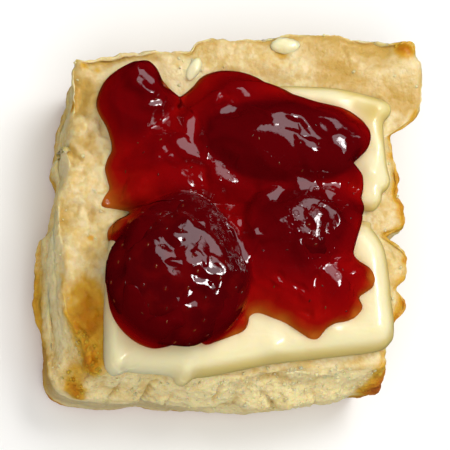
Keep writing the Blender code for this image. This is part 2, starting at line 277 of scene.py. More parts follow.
def turn(heading: float) -> Array:
    """The matrix that takes rows of points from axes turned by degrees in the plane into it."""
    angle = math.radians(heading)
    along, across = math.cos(angle), math.sin(angle)
    return np.array(((along, across, 0.0), (-across, along, 0.0), (0.0, 0.0, 1.0)))


@dataclass(frozen=True)
class Outline:
    """A smooth closed line in the plane through a few points, in millimetres."""

    points: tuple[tuple[float, float], ...]
    steps: int = 8

    def line(self) -> Array:
        """Points along the closed Catmull-Rom curve, a few for each span."""
        here = np.array(self.points)
        before, after, beyond = np.roll(here, 1, 0), np.roll(here, -1, 0), np.roll(here, -2, 0)
        t = np.linspace(0.0, 1.0, self.steps, endpoint=False)[:, None]
        spans = [0.5 * (2.0 * b + (c - a) * t + (2.0 * a - 5.0 * b + 4.0 * c - d) * t ** 2
                        + (3.0 * b - a - 3.0 * c + d) * t ** 3)
                 for a, b, c, d in zip(before, here, after, beyond)]
        return np.concatenate(spans)

    def reach(self, angles: Array, centre: tuple[float, float] = (0.0, 0.0)) -> Array:
        """Distance from a centre to the line along each angle.

        Args:
            angles: directions in radians.
            centre: the point that is measured from.

        Returns:
            One distance an angle.
        """
        spokes = self.line() - centre
        return np.interp(angles, bearing(spokes), radius_of(spokes), period=FULL_TURN)

    def rings(self, centre: tuple[float, float], spokes: int, inset: Array,
              rows: int) -> tuple[Array, Array, Array]:
        """Level rings within the line: some at insets from it, the others closing in on a centre.

        Args:
            centre: the point that they close in on.
            spokes: how many points each ring has.
            inset: how far inside the line each of the first rings is.
            rows: how many rings follow these.

        Returns:
            The directions of the spokes, the line's distances along them, and the rings.
        """
        angles = directions(spokes)
        reach = self.reach(angles, centre)
        inner = np.linspace(1.0, 0.0, rows + 1, endpoint=False)[1:, None]
        radius = np.concatenate((reach - inset[:, None], (reach - inset[-1]) * inner))
        return angles, reach, place(radius, angles, 0.0, centre)

    def depth(self, points: Array) -> Array:
        """How far inside the line each point is, read between the points of a table of distances.

        Args:
            points: places, of which x and y count.

        Returns:
            One signed distance a point, negative outside.
        """
        corner, table = distance_table(self)
        place_in = np.clip((points[..., :2] - corner) / TABLE_STEP, 0.0, np.array(table.shape) - 1.001)
        cell = place_in.astype(int)
        (x, y), (across, up) = np.moveaxis(cell, -1, 0), np.moveaxis(place_in - cell, -1, 0)
        low = table[x, y] * (1.0 - across) + table[x + 1, y] * across
        high = table[x, y + 1] * (1.0 - across) + table[x + 1, y + 1] * across
        return low * (1.0 - up) + high * up

    def exact_depth(self, points: Array) -> Array:
        """How far inside the line each point is: the distance to it, negative outside.

        Args:
            points: places, of which x and y count.

        Returns:
            One signed distance a point.
        """
        start = self.line()
        run = np.roll(start, -1, axis=0) - start
        places = points[..., :2].reshape(-1, 2)
        parts = [self._signed(part, start, run) for part in chunks(places)]
        return np.concatenate(parts).reshape(points.shape[:-1])

    @staticmethod
    def _signed(places: Array, start: Array, run: Array) -> Array:
        """Signed distances to the sides: the nearest side's, with its sign by counting crossings.

        Args:
            places: points in the plane.
            start: where each side starts.
            run: each side's vector.

        Returns:
            One signed distance a place.
        """
        gap = places[:, None, :] - start
        share = np.clip((gap * run).sum(-1) / (run * run).sum(-1), 0.0, 1.0)
        away = np.hypot(*np.moveaxis(gap - share[..., None] * run, -1, 0)).min(axis=1)
        spans = (gap[..., 1] < 0.0) != (gap[..., 1] - run[:, 1] < 0.0)
        run_y = np.where(np.abs(run[:, 1]) < 1e-9, 1e-9, run[:, 1])
        crossed = spans & (gap[..., 0] < gap[..., 1] * run[:, 0] / run_y)
        return np.where(crossed.sum(axis=1) % 2 == 1, away, -away)


@lru_cache
def distance_table(outline: Outline) -> tuple[Array, Array]:
    """Signed distances to an outline at the points of a square lattice round it.

    Args:
        outline: the closed line.

    Returns:
        The lattice's lowest corner, and the distances with x along the first axis.
    """
    line = outline.line()
    corner = line.min(axis=0) - TABLE_MARGIN
    count = np.ceil((line.max(axis=0) + TABLE_MARGIN - corner) / TABLE_STEP).astype(int) + 1
    lattice = np.stack(np.meshgrid(*(np.arange(n) * TABLE_STEP for n in count), indexing="ij"), axis=-1)
    return corner, outline.exact_depth(lattice + corner)


@dataclass(frozen=True)
class Spot:
    """A soft round place on the object, in millimetres, and how much of something is there."""

    x: float
    y: float
    z: float
    radius: float
    amount: float

    def at(self, points: Array) -> Array:
        """The spot's amount at each point, fading as a bell."""
        away = np.linalg.norm(points - (self.x, self.y, self.z), axis=-1)
        return self.amount * bell(away, self.radius)


def each(kind: type, *rows: tuple) -> tuple:
    """One object of a kind for each row of its values."""
    return tuple(kind(*row) for row in rows)


def spotted(points: Array, spots: tuple[Spot, ...]) -> Array:
    """The sum of several spots at each point."""
    return sum((spot.at(points) for spot in spots), np.zeros(points.shape[:-1]))


@dataclass(frozen=True)
class Crack:
    """A short split in the crumb along a line in the plane, in millimetres."""

    start: tuple[float, float]
    end: tuple[float, float]
    width: float
    deep: float

    def at(self, points: Array) -> Array:
        """How deep the crack is at each point: a bell across its line, which noise makes crooked.

        Args:
            points: places in millimetres.

        Returns:
            One depth a point.
        """
        run = np.subtract(self.end, self.start)
        gap = bent(points, 1.4, 0.4, 76)[..., :2] - self.start
        share = np.clip((gap @ run) / (run @ run), 0.0, 1.0)
        away = np.linalg.norm(gap - share[..., None] * run, axis=-1)
        return self.deep * bell(away, self.width) * (1.0 - 0.6 * share)


@dataclass(frozen=True)
class Sheen:
    """A flat place on a wet surface that mirrors a lamp, in millimetres and degrees."""

    x: float
    y: float
    long: float
    wide: float
    heading: float
    slope: tuple[float, float] = SOFT_SLOPE

    def laid(self, points: Array, pulled: Array, height: Array, level: float) -> Array:
        """Lays the flat in: a tilted plane through its middle, over an ellipse that noise pulls about.

        Args:
            points: places in the plane.
            pulled: the same places, moved a little by noise.
            height: the surface's height at each place.
            level: the surface's height at the flat's middle.

        Returns:
            The new heights.
        """
        gap = pulled[..., :2] - (self.x, self.y)
        angle = math.radians(self.heading)
        along = gap @ (math.cos(angle), math.sin(angle)) / self.long
        across = gap @ (-math.sin(angle), math.cos(angle)) / self.wide
        share = SHEEN_SHARE * bell(along ** 2 + across ** 2, 1.0)
        plane = level + (points[..., :2] - (self.x, self.y)) @ self.slope
        return height + share * (plane - height)


def with_sheens(points: Array, sheens: tuple[Sheen, ...], height: Array, levels: Array) -> Array:
    """Lays several flats into a surface, one after another.

    Args:
        points: places in the plane.
        sheens: the flats.
        height: the surface's height at each place.
        levels: its height at the middle of each flat.

    Returns:
        The new heights.
    """
    pulled = bent(flat(points), 2.0, 0.6, 28)
    pulled = bent(pulled, 0.8, 0.16, 29)
    for sheen, level in zip(sheens, levels):
        height = sheen.laid(points, pulled, height, level)
    return height


def middles(sheens: tuple[Sheen, ...]) -> Array:
    """The middle of each flat, as places in the plane."""
    return np.array([(sheen.x, sheen.y, 0.0) for sheen in sheens]).reshape(-1, 3)


def over(points: Array, height: float) -> Array:
    """The same points, all moved to one height."""
    return flat(points) + (0.0, 0.0, height)


def add_object(name: str, data: bpy.types.ID) -> bpy.types.Object:
    """Adds an object with the data to the scene."""
    added = bpy.data.objects.new(name, data)
    bpy.context.scene.collection.objects.link(added)
    return added


def make_piece(name: str, points: Array, faces: list[list[int]], material: bpy.types.Material,
               marks: dict[Mark, Array] | None = None) -> bpy.types.Object:
    """Makes a smooth mesh piece that rides on the part.

    Args:
        name: the piece's name.
        points: its vertices in millimetres.
        faces: vertex numbers of each face, anticlockwise from outside.
        material: its finish.
        marks: numbers at the vertices for the finish.

    Returns:
        The new object, at the origin.
    """
    mesh = bpy.data.meshes.new(name)
    mesh.from_pydata((points.reshape(-1, 3) * MM).tolist(), [], faces)
    for mark, values in (marks or {}).items():
        layer = mesh.attributes.new(mark.value, "FLOAT", "POINT")
        layer.data.foreach_set("value", values.ravel().astype(np.float32))
    mesh.materials.append(material)
    mesh.shade_smooth()
    piece = add_object(name, mesh)
    piece.visible_glossy = not material.name.startswith(PALE)
    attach(piece, "root")
    LOG.info("%s: %d vertices, %d faces", name, len(mesh.vertices), len(mesh.polygons))
    return piece


def loft_faces(rows: int, spokes: int) -> tuple[Array, Array]:
    """Faces of a closed loft: quads between its rings, and triangles to a pole beyond each end.

    Args:
        rows: how many rings it has.
        spokes: how many points each ring has.

    Returns:
        The quads and the triangles; the foot's pole and then the crown's are numbered last.
    """
    here = np.arange(rows * spokes).reshape(rows, spokes)
    beside = np.roll(here, -1, axis=1)
    quads = np.stack((here[:-1], beside[:-1], beside[1:], here[1:]), -1).reshape(-1, 4)
    foot = np.stack((np.full(spokes, here.size), beside[0], here[0]), -1)
    crown = np.stack((np.full(spokes, here.size + 1), here[-1], beside[-1]), -1)
    return quads, np.concatenate((foot, crown))


def make_loft(name: str, rings: Array, material: bpy.types.Material,
              marks: dict[Mark, Array] | None = None) -> bpy.types.Object:
    """Skins rows of points and closes both ends on a pole in the middle of the end rows.

    Args:
        name: the piece's name.
        rings: points in rows, each row a closed ring, the rows from the foot to the crown.
        material: its finish.
        marks: numbers at the points of the rings.

    Returns:
        The new piece.
    """
    quads, tips = loft_faces(*rings.shape[:2])
    points = np.concatenate((rings.reshape(-1, 3), rings[[0, -1]].mean(axis=1)))
    closed = {mark: np.concatenate((values.ravel(), values[[0, -1]].mean(axis=1)))
              for mark, values in (marks or {}).items()}
    return make_piece(name, points, quads.tolist() + tips.tolist(), material, closed)


def on_ball(along: Array, around: Array) -> Array:
    """Points of a unit ball by their angle from its pole at -X and their turn round its axis."""
    return np.stack(np.broadcast_arrays(-np.cos(along), np.sin(along) * np.cos(around),
                                        np.sin(along) * np.sin(around)), axis=-1)


def ball(spokes: int, rows: int) -> Array:
    """Rings of a unit ball whose poles lie at -X and +X, without the poles."""
    return on_ball(np.linspace(0.0, math.pi, rows + 2)[1:-1, None], directions(spokes)[None, :])


def lying_axes(along: Array, outward: Array, half: tuple[float, float, float]) -> Array:
    """Half-axes of small things that lie on a surface, for make_scatter.

    Args:
        along: about where each one's length points.
        outward: the surface's unit normal at each one.
        half: half their length, width and thickness.

    Returns:
        Three half-axis vectors for each, as rows.
    """
    length = unit(along - outward * np.sum(along * outward, axis=-1, keepdims=True))
    return np.stack((length, np.cross(outward, length), outward), axis=1) * np.array(half)[:, None]


def make_scatter(name: str, centres: Array, axes: Array, material: bpy.types.Material,
                 dents: float = 0.0, browning: Array | None = None) -> bpy.types.Object:
    """Joins many small balls, each stretched and turned by its own axes, into one piece.

    Args:
        name: the piece's name.
        centres: the middle of each ball.
        axes: three half-axis vectors for each ball, as rows, right-handed.
        material: their finish.
        dents: how far their skins are moved in and out, as a share of their size.
        browning: how toasted each ball is, where its finish asks.

    Returns:
        The new piece.
    """
    shape = ball(spokes=8, rows=4)
    quads, tips = loft_faces(*shape.shape[:2])
    skin = np.concatenate((shape.reshape(-1, 3), ((-1.0, 0.0, 0.0), (1.0, 0.0, 0.0))))
    swollen = np.broadcast_to(skin, (len(centres), len(skin), 3))
    if dents:
        shift = np.arange(len(centres))[:, None, None] * 9.7
        swollen = swollen * (1.0 + dents * grain(skin + shift, 0.9, 3))[..., None]
    points = centres[:, None, :] + np.einsum("nki,nij->nkj", swollen, axes)
    offset = (np.arange(len(centres)) * len(skin))[:, None, None]
    faces = (quads + offset).reshape(-1, 4).tolist() + (tips + offset).reshape(-1, 3).tolist()
    marks = None if browning is None else {Mark.BROWNING: np.repeat(browning, len(skin))}
    return make_piece(name, points, faces, material, marks)


class Socket:
    """A shader value that adds Math nodes when it is used in an expression."""

    def __init__(self, graph: "Graph", link: bpy.types.NodeSocket) -> None:
        """Wraps one output of a node."""
        self.graph = graph
        self.link = link

    def math(self, operation: str, first: "Socket | float", second: "Socket | float" = 0.0,
             clamp: bool = False) -> "Socket":
        """Adds one Math node and hands back its result, kept from 0 to 1 if clamp is set."""
        settings = {"operation": operation, "use_clamp": clamp}
        return self.graph.node("ShaderNodeMath", settings, {0: first, 1: second})

    def __add__(self, other: "Socket | float") -> "Socket":
        """The sum of this value and another."""
        return self.math("ADD", self, other)

    def __sub__(self, other: "Socket | float") -> "Socket":
        """This value less another."""
        return self.math("SUBTRACT", self, other)

    def __rsub__(self, other: float) -> "Socket":
        """A number less this value."""
        return self.math("SUBTRACT", other, self)

    def __mul__(self, other: "Socket | float") -> "Socket":
        """The product of this value and another."""
        return self.math("MULTIPLY", self, other)

    __radd__ = __add__
    __rmul__ = __mul__

    def clamped(self) -> "Socket":
        """This value kept from 0 to 1."""
        return self.math("ADD", self, 0.0, True)


class Graph:
    """The node tree of one material, ending in a Principled surface."""

    def __init__(self, name: str) -> None:
        """Starts an empty tree with the places that its patterns are read at."""
        self.material = bpy.data.materials.new(name)
        self.material.use_nodes = True
        self.tree = self.material.node_tree
        self.tree.nodes.clear()
        self.place = self.node("ShaderNodeTexCoord", output="Object")

    def node(self, kind: str, settings: dict | None = None, inputs: dict | None = None,
             output: int | str = 0) -> Socket:
        """Adds a node, makes its settings and then fills its sockets.

        Args:
            kind: Blender's type name of the node.
            settings: its properties; "stops" holds a ramp's places and colours.
            inputs: a value or a socket for each input, by name or number.
            output: the output that is handed back.

        Returns:
            That output, ready for expressions.
        """
        node = self.tree.nodes.new(kind)
        for name, value in (settings or {}).items():
            if name == "stops":
                self._set_stops(node.color_ramp, value)
            else:
                setattr(node, name, value)
        for key, value in (inputs or {}).items():
            if isinstance(value, Socket):
                self.tree.links.new(value.link, node.inputs[key])
            elif isinstance(value, tuple) and len(value) == 3 and node.inputs[key].type == "RGBA":
                node.inputs[key].default_value = (*value, 1.0)
            else:
                node.inputs[key].default_value = value
        return Socket(self, node.outputs[output]) if node.outputs else None

    @staticmethod
    def _set_stops(scale: bpy.types.ColorRamp, stops: tuple) -> None:
        """Sets a ramp's stops from pairs of a place and a colour."""
        while len(scale.elements) < len(stops):
            scale.elements.new(1.0)
        for element, (position, colour) in zip(scale.elements, stops):
            element.position = position
            element.color = (*colour, 1.0)

    def mark(self, mark: Mark) -> Socket:
        """Reads one of the numbers that the mesh carries."""
        return self.node("ShaderNodeAttribute", {"attribute_name": mark.value}, output="Fac")

    def noise(self, size: float, detail: float = 3.0, stretch: Colour = (1.0, 1.0, 1.0),
              distortion: float = 0.0) -> Socket:
        """Noise from 0 to 1 in object space.

        Args:
            size: its grain in millimetres.
            detail: how many finer grains are added.
            stretch: factors on the three coordinates.
            distortion: how far the grains are pulled out of shape.

        Returns:
            The noise's value.
        """
        place = self.node("ShaderNodeMapping", None, {"Vector": self.place, "Scale": stretch})
        inputs = {"Vector": place, "Scale": 1.0 / (size * MM), "Detail": detail, "Distortion": distortion}
        return self.node("ShaderNodeTexNoise", None, inputs)

    def cells(self, size: float) -> Socket:
        """Distance to the nearest of a set of spots in object space, their spacing in millimetres."""
        return self.node("ShaderNodeTexVoronoi", None, {"Vector": self.place, "Scale": 1.0 / (size * MM)})

    def scale(self, value: Socket, stops: tuple) -> Socket:
        """The colour of a ramp at a value."""
        return self.node("ShaderNodeValToRGB", {"stops": stops}, {0: value})

    def step(self, value: Socket, start: float, end: float) -> Socket:
        """Goes smoothly from 0 at start to 1 at end."""
        settings = {"interpolation_type": "SMOOTHSTEP"}
        return self.node("ShaderNodeMapRange", settings, {0: value, 1: start, 2: end})

    def mix(self, share: Socket | float, first: Socket | Colour, second: Socket | Colour) -> Socket:
        """The first colour where the share is 0 and the second where it is 1."""
        inputs = {0: share, 6: first, 7: second}
        return self.node("ShaderNodeMix", {"data_type": "RGBA"}, inputs, output=2)

    def bump(self, height: Socket, depth: float, strength: float = 1.0) -> Socket:
        """A normal that leans with a height from 0 to 1, where 1 is worth a depth in millimetres."""
        inputs = {"Strength": strength, "Distance": depth * MM, "Height": height}
        return self.node("ShaderNodeBump", None, inputs)

    def finish(self, sockets: dict) -> bpy.types.Material:
        """Adds the Principled surface with its values and links by name, and ends the tree."""
        surface = self.node("ShaderNodeBsdfPrincipled", None, sockets)
        self.node("ShaderNodeOutputMaterial", None, {"Surface": surface})
        return self.material


@dataclass(frozen=True)
class BreadFinish:
    """Baked dough: pale torn crumb, waxy where it was rolled, toasted to amber and brown."""

    cream: Colour = (0.80, 0.665, 0.365)
    fluff: Colour = (0.93, 0.775, 0.405)
    # Painted shade for the foot of the front wall, under the torn crumb's ledge.
    ledge_shade: Colour = (0.44, 0.33, 0.165)
    gold: Colour = (0.72, 0.52, 0.19)
    # Painted shade, with the crumb's own gold, for creases, dips and the listed spots.
    hollow: Colour = (0.60, 0.38, 0.09)
    toasts: tuple = (
        (0.0, (0.76, 0.58, 0.25)), (0.28, (0.68, 0.38, 0.03)), (0.5, (0.55, 0.22, 0.003)),
        (0.75, (0.56, 0.185, 0.006)), (1.0, (0.36, 0.090, 0.004)))

    def material(self) -> bpy.types.Material:
        """Mixes cream and gold by noise, paler where torn, gold and painted shade into hollows, and toast
        over them, and painted shade on the foot of the front wall.
        """
        graph = Graph("bread")
        browning = graph.mark(Mark.BROWNING)
        hollow = graph.mark(Mark.HOLLOW)
        patches = graph.noise(6.0, 4.0)
        flour = graph.noise(1.5, 4.0)
        grit = graph.noise(0.4, 3.0)
        beads = graph.step(graph.cells(0.95), 0.55, 0.12)
        golden = graph.step(patches + (flour - 0.5) * 0.6, 0.38, 0.74)
        wax = graph.mark(Mark.WAX)
        crumb = graph.mix(golden, self.cream, self.gold)
        crumb = graph.mix((1.0 - wax) * (0.9 - golden * 0.4), crumb, self.fluff)
        crumb = graph.mix(graph.step(hollow + (flour - 0.5) * 0.4, 0.5, 1.15), crumb, self.hollow)
        toast = (browning + (flour - 0.5) * 0.3 * graph.step(browning, 0.02, 0.3)).clamped()
        colour = graph.mix(graph.step(toast, 0.02, 0.24), crumb, graph.scale(toast, self.toasts))
        # Painted shade on the foot of the front wall.
        colour = graph.mix(graph.mark(Mark.SIDE), colour, self.ledge_shade)
        relief = (flour * 0.3 + grit * 0.4 + graph.noise(0.8, 3.0) * 0.3 + beads * 0.3) * (1.0 - 0.55 * wax)
        return graph.finish({
            "Base Color": colour,
            "Roughness": 0.45 + 0.3 * flour - 0.2 * wax,
            "Specular IOR Level": 0.35,
            "Subsurface Weight": 0.55,
            "Subsurface Radius": (1.0, 0.6, 0.22),
            "Subsurface Scale": 1.8 * MM,
            "Normal": graph.bump(relief, 0.55, 0.8),
        })


@dataclass(frozen=True)
class ButterFinish:
    """Soft butter, pale and waxy on top: painted yellow shade down its sides, painted red glow by the jam.
    """

    top: Colour = (0.88, 0.80, 0.495)
    # Painted shade: the colour of the butter's sides where they turn away from the lamps.
    side: Colour = (0.73, 0.58, 0.20)
    # Painted red glow that the jam throws onto the butter beside it.
    stain: Colour = (0.84, 0.50, 0.23)

    def material(self) -> bpy.types.Material:
        """Mixes top, painted side shade and painted jam glow by their marks, with faint streaks."""
        graph = Graph("butter")
        side = graph.mark(Mark.SIDE)
        streaks = graph.noise(5.0, 3.0, (0.5, 1.2, 1.0), 0.6)
        share = graph.step(side + (streaks - 0.5) * 0.3, 0.1, 1.0)
        relief = streaks * 0.8 + graph.noise(1.4, 2.0) * 0.15
        plain = graph.mix(share, self.top, self.side)
        return graph.finish({
            "Base Color": graph.mix(graph.mark(Mark.STAIN), plain, self.stain),
            "Roughness": 0.26 + 0.14 * streaks,
            "Specular IOR Level": 0.5,
            "Subsurface Weight": 0.6,
            "Subsurface Radius": (1.0, 0.75, 0.35),
            "Subsurface Scale": 2.2 * MM,
            "Coat Weight": 0.25,
            "Coat Roughness": 0.12,
            "Normal": graph.bump(relief, 0.35, 0.6),
        })


def wet_skin(graph: Graph) -> Socket:
    """The fine relief of syrup: slow ripples, fine wrinkles, and small bubbles in patches.

    Args:
        graph: the tree of the finish that it is for.

    Returns:
        The normal.
    """
    ripples = graph.noise(3.6, 2.0, distortion=0.6)
    wrinkles = graph.noise(0.9, 3.0)
    patches = graph.step(graph.mark(Mark.FROTH) + (graph.noise(3.0, 2.0) - 0.5) * 0.6, 0.35, 0.8)
    bubbles = graph.step(graph.cells(1.9), 0.36, 0.18) + graph.step(graph.cells(0.9), 0.34, 0.14) * 0.4
    relief = ripples * 0.20 + wrinkles * (0.16 + patches * 0.14) + bubbles * patches * 0.34
    return graph.bump(relief, 0.5, 0.6)


@dataclass(frozen=True)
class JamFinish:
    """Strawberry jelly: amber where it is thin, scarlet, then nearly black red where it is deep."""

    full: float = 10.0
    depths: tuple = (
        (0.0, (0.42, 0.11, 0.012)), (0.06, (0.40, 0.075, 0.007)), (0.14, (0.38, 0.030, 0.004)),
        (0.25, (0.33, 0.0040, 0.0024)), (0.45, (0.26, 0.0014, 0.0020)), (0.62, (0.17, 0.0008, 0.0020)),
        (0.85, (0.115, 0.0005, 0.0018)), (1.0, (0.092, 0.0005, 0.0018)))

    def material(self) -> bpy.types.Material:
        """Colours the jelly by its depth with cloudy pulp in it, under a wet coat."""
        graph = Graph("jam")
        pulp = graph.noise(4.0, 4.0, distortion=0.8)
        depth = (graph.mark(Mark.DEPTH) + (pulp - 0.5) * 0.14).clamped()
        return graph.finish({
            "Base Color": graph.scale(depth, self.depths),
            "Roughness": 0.04 + 0.06 * graph.step(pulp, 0.5, 0.8),
            "Specular IOR Level": 0.5,
            "Normal": wet_skin(graph),
            **WET,
        })


@dataclass(frozen=True)
class BerryFinish:
    """Cooked strawberry under syrup: dark skin, a little brighter in its dimples."""

    skin: Colour = (0.070, 0.0006, 0.0018)
    blush: Colour = (0.115, 0.0010, 0.0018)
    dimple: Colour = (0.12, 0.002, 0.002)

    def material(self) -> bpy.types.Material:
        """Mixes skin and blush by noise, and a lighter ring into the dimples."""
        graph = Graph("strawberry")
        cloud = graph.noise(5.0, 4.0)
        skin = graph.mix(graph.step(cloud, 0.42, 0.7), self.skin, self.blush)
        colour = graph.mix(graph.step(graph.mark(Mark.HOLLOW), 0.45, 1.0) * 0.7, skin, self.dimple)
        return graph.finish({
            "Base Color": colour,
            "Roughness": 0.04 + 0.07 * graph.step(cloud, 0.5, 0.8),
            "Normal": wet_skin(graph),
            **WET,
        })


@dataclass(frozen=True)
class SeedFinish:
    """Strawberry seeds: tan and golden, some browned by the syrup."""

    tan: Colour = (0.18, 0.040, 0.008)
    brown: Colour = (0.075, 0.006, 0.003)

    def material(self) -> bpy.types.Material:
        """Mixes tan and brown by a noise that is wider than a seed."""
        graph = Graph("seeds")
        share = graph.step(graph.noise(2.4, 1.0), 0.36, 0.56)
        return graph.finish({
            "Base Color": graph.mix(share, self.tan, self.brown),
            "Roughness": 0.22,
            "Coat Weight": 0.5,
            "Coat Roughness": 0.05,
            "Normal": graph.bump(graph.noise(0.2, 2.0), 0.04),
        })


@dataclass(frozen=True)
class FloorFinish:
    """A plain pale studio floor."""

    paint: Colour = (0.97, 0.97, 0.97)

    def material(self) -> bpy.types.Material:
        """Matt paint with a faint mottle."""
        graph = Graph("floor_paint")
        mottle = graph.noise(60.0, 2.0)
        shade = tuple(0.985 * part for part in self.paint)
        return graph.finish({"Base Color": graph.mix(mottle, self.paint, shade), "Roughness": 0.9,
                             "Specular IOR Level": 0.0})


@dataclass
class Pat:
    """A soft pat of butter whose edge rolls over in a quarter of an ellipse."""

    name: str
    outline: Outline
    centre: tuple[float, float]
    thickness: float
    rounding: float
    crisp: float = 0.0
    bumps: tuple[Spot, ...] = ()
    # Spots of painted shade on a pat's top, partly where thin butter lets the bread show through.
    thins: tuple[Spot, ...] = ()
    edge: float = 0.35
    dip: float = 0.12
    wave: float = 0.16
    wave_size: float = 7.0
    left_end: float = 5.5
    blur: float = 0.9
    edge_band: float = 1.3
    # Where along x the painted shade of the rolled edge sets in.
    side_shade_from: tuple[float, float] = (-18.0, -4.0)
    foot_insets: tuple = (1.4, 0.5, 0.1)
    foot_levels: tuple = (-0.15, -0.15, -0.1, 0.12)
    spokes: int = 420
    edge_rows: int = 44
    middle_rows: int = 26

    def rise(self, points: Array, depth: Array) -> Array:
        """The pat's thickness: a quarter ellipse over its rounding, crisper at the left, and bumps.

        Args:
            points: places on the pat.
            depth: how far inside the outline each place is.

        Returns:
            The height of the butter over its foot.
        """
        left = ramp(self.outline.line()[:, 0].min() + self.left_end - points[..., 0], 0.0, 4.0)
        share = np.clip(depth / (self.rounding * (1.0 - self.crisp * left)), 0.0, 1.0)
        roll = np.sqrt(1.0 - (1.0 - share) ** 2)
        ground = flat(points)
        wave = self.wave * rough(ground, self.wave_size, 31) * share
        sag = 1.0 - self.dip * ramp(depth, self.rounding, 2.6 * self.rounding)
        body = self.edge + (self.thickness - self.edge) * roll * sag
        return body + wave + spotted(ground, self.bumps) * np.sqrt(share)

    def eased_depth(self, points: Array) -> Array:
        """How far inside the outline each place is, less at sharp corners, to round them off.

        There the mean depth of eight places around it is less than its own.

        Args:
            points: places on the pat.

        Returns:
            One depth a place, from 0.
        """
        ways = directions(8)
        steps = self.blur * np.stack((np.cos(ways), np.sin(ways), 0.0 * ways), axis=-1)
        around = np.mean([self.outline.depth(points + step) for step in steps], axis=0)
        exact = self.outline.exact_depth(points)
        around = around + 0.5 * self.blur * (1.0 - ramp(exact, 0.0, self.blur))
        return np.maximum(np.minimum(exact, around), 0.0)

    def build(self, biscuit: "Biscuit", material: bpy.types.Material) -> bpy.types.Object:
        """Skins the pat: a flat foot, then rings that close in on its middle.

        Args:
            biscuit: what the pat lies on.
            material: its finish.

        Returns:
            The piece that stands for the node of the same name.
        """
        inset = self.rounding * self.edge_band * np.linspace(0.0, 1.0, self.edge_rows) ** 2
        angles, reach, rings = self.outline.rings(self.centre, self.spokes, inset, self.middle_rows)
        depth = self.eased_depth(rings)
        rings[..., 2] = biscuit.rest(rings) + self.rise(rings, depth)
        foot = np.stack((reach * 0.5, *(reach - gap for gap in self.foot_insets)))
        foot = place(foot, angles, 0.0, self.centre)
        foot[..., 2] = biscuit.rest(foot) + np.array(self.foot_levels)[:, None]
        # Painted shade on the rolled edge from side_shade_from onward, and at the listed spots.
        low = ramp(rings[..., 0], *self.side_shade_from) * (1.0 - ramp(depth, 0.0, self.rounding * 0.7))
        low = np.clip(low + spotted(flat(rings), self.thins), 0.0, 1.0)
        skin = np.concatenate((foot, rings))
        marks = {Mark.SIDE: np.concatenate((np.ones(foot.shape[:-1]), low)), Mark.STAIN: jam_glowing(skin)}
        piece = make_loft(self.name + "_soft", skin, material, marks)
        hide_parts(self.name)
        return piece

    def top(self, biscuit: "Biscuit", points: Array) -> Array:
        """Height of the pat's upper surface, and far below the part beside it.

        Args:
            biscuit: what the pat lies on.
            points: places in the plane.

        Returns:
            One height a point.
        """
        depth = self.outline.depth(points)
        height = biscuit.rest(points) + self.rise(points, np.maximum(depth, 0.0))
        return np.where(depth > 0.0, height, FAR_BELOW)


class Zone(IntEnum):
    """Where on the biscuit a row of its skin lies."""

    BASE = 0
    WALL = 1
    TOP = 2


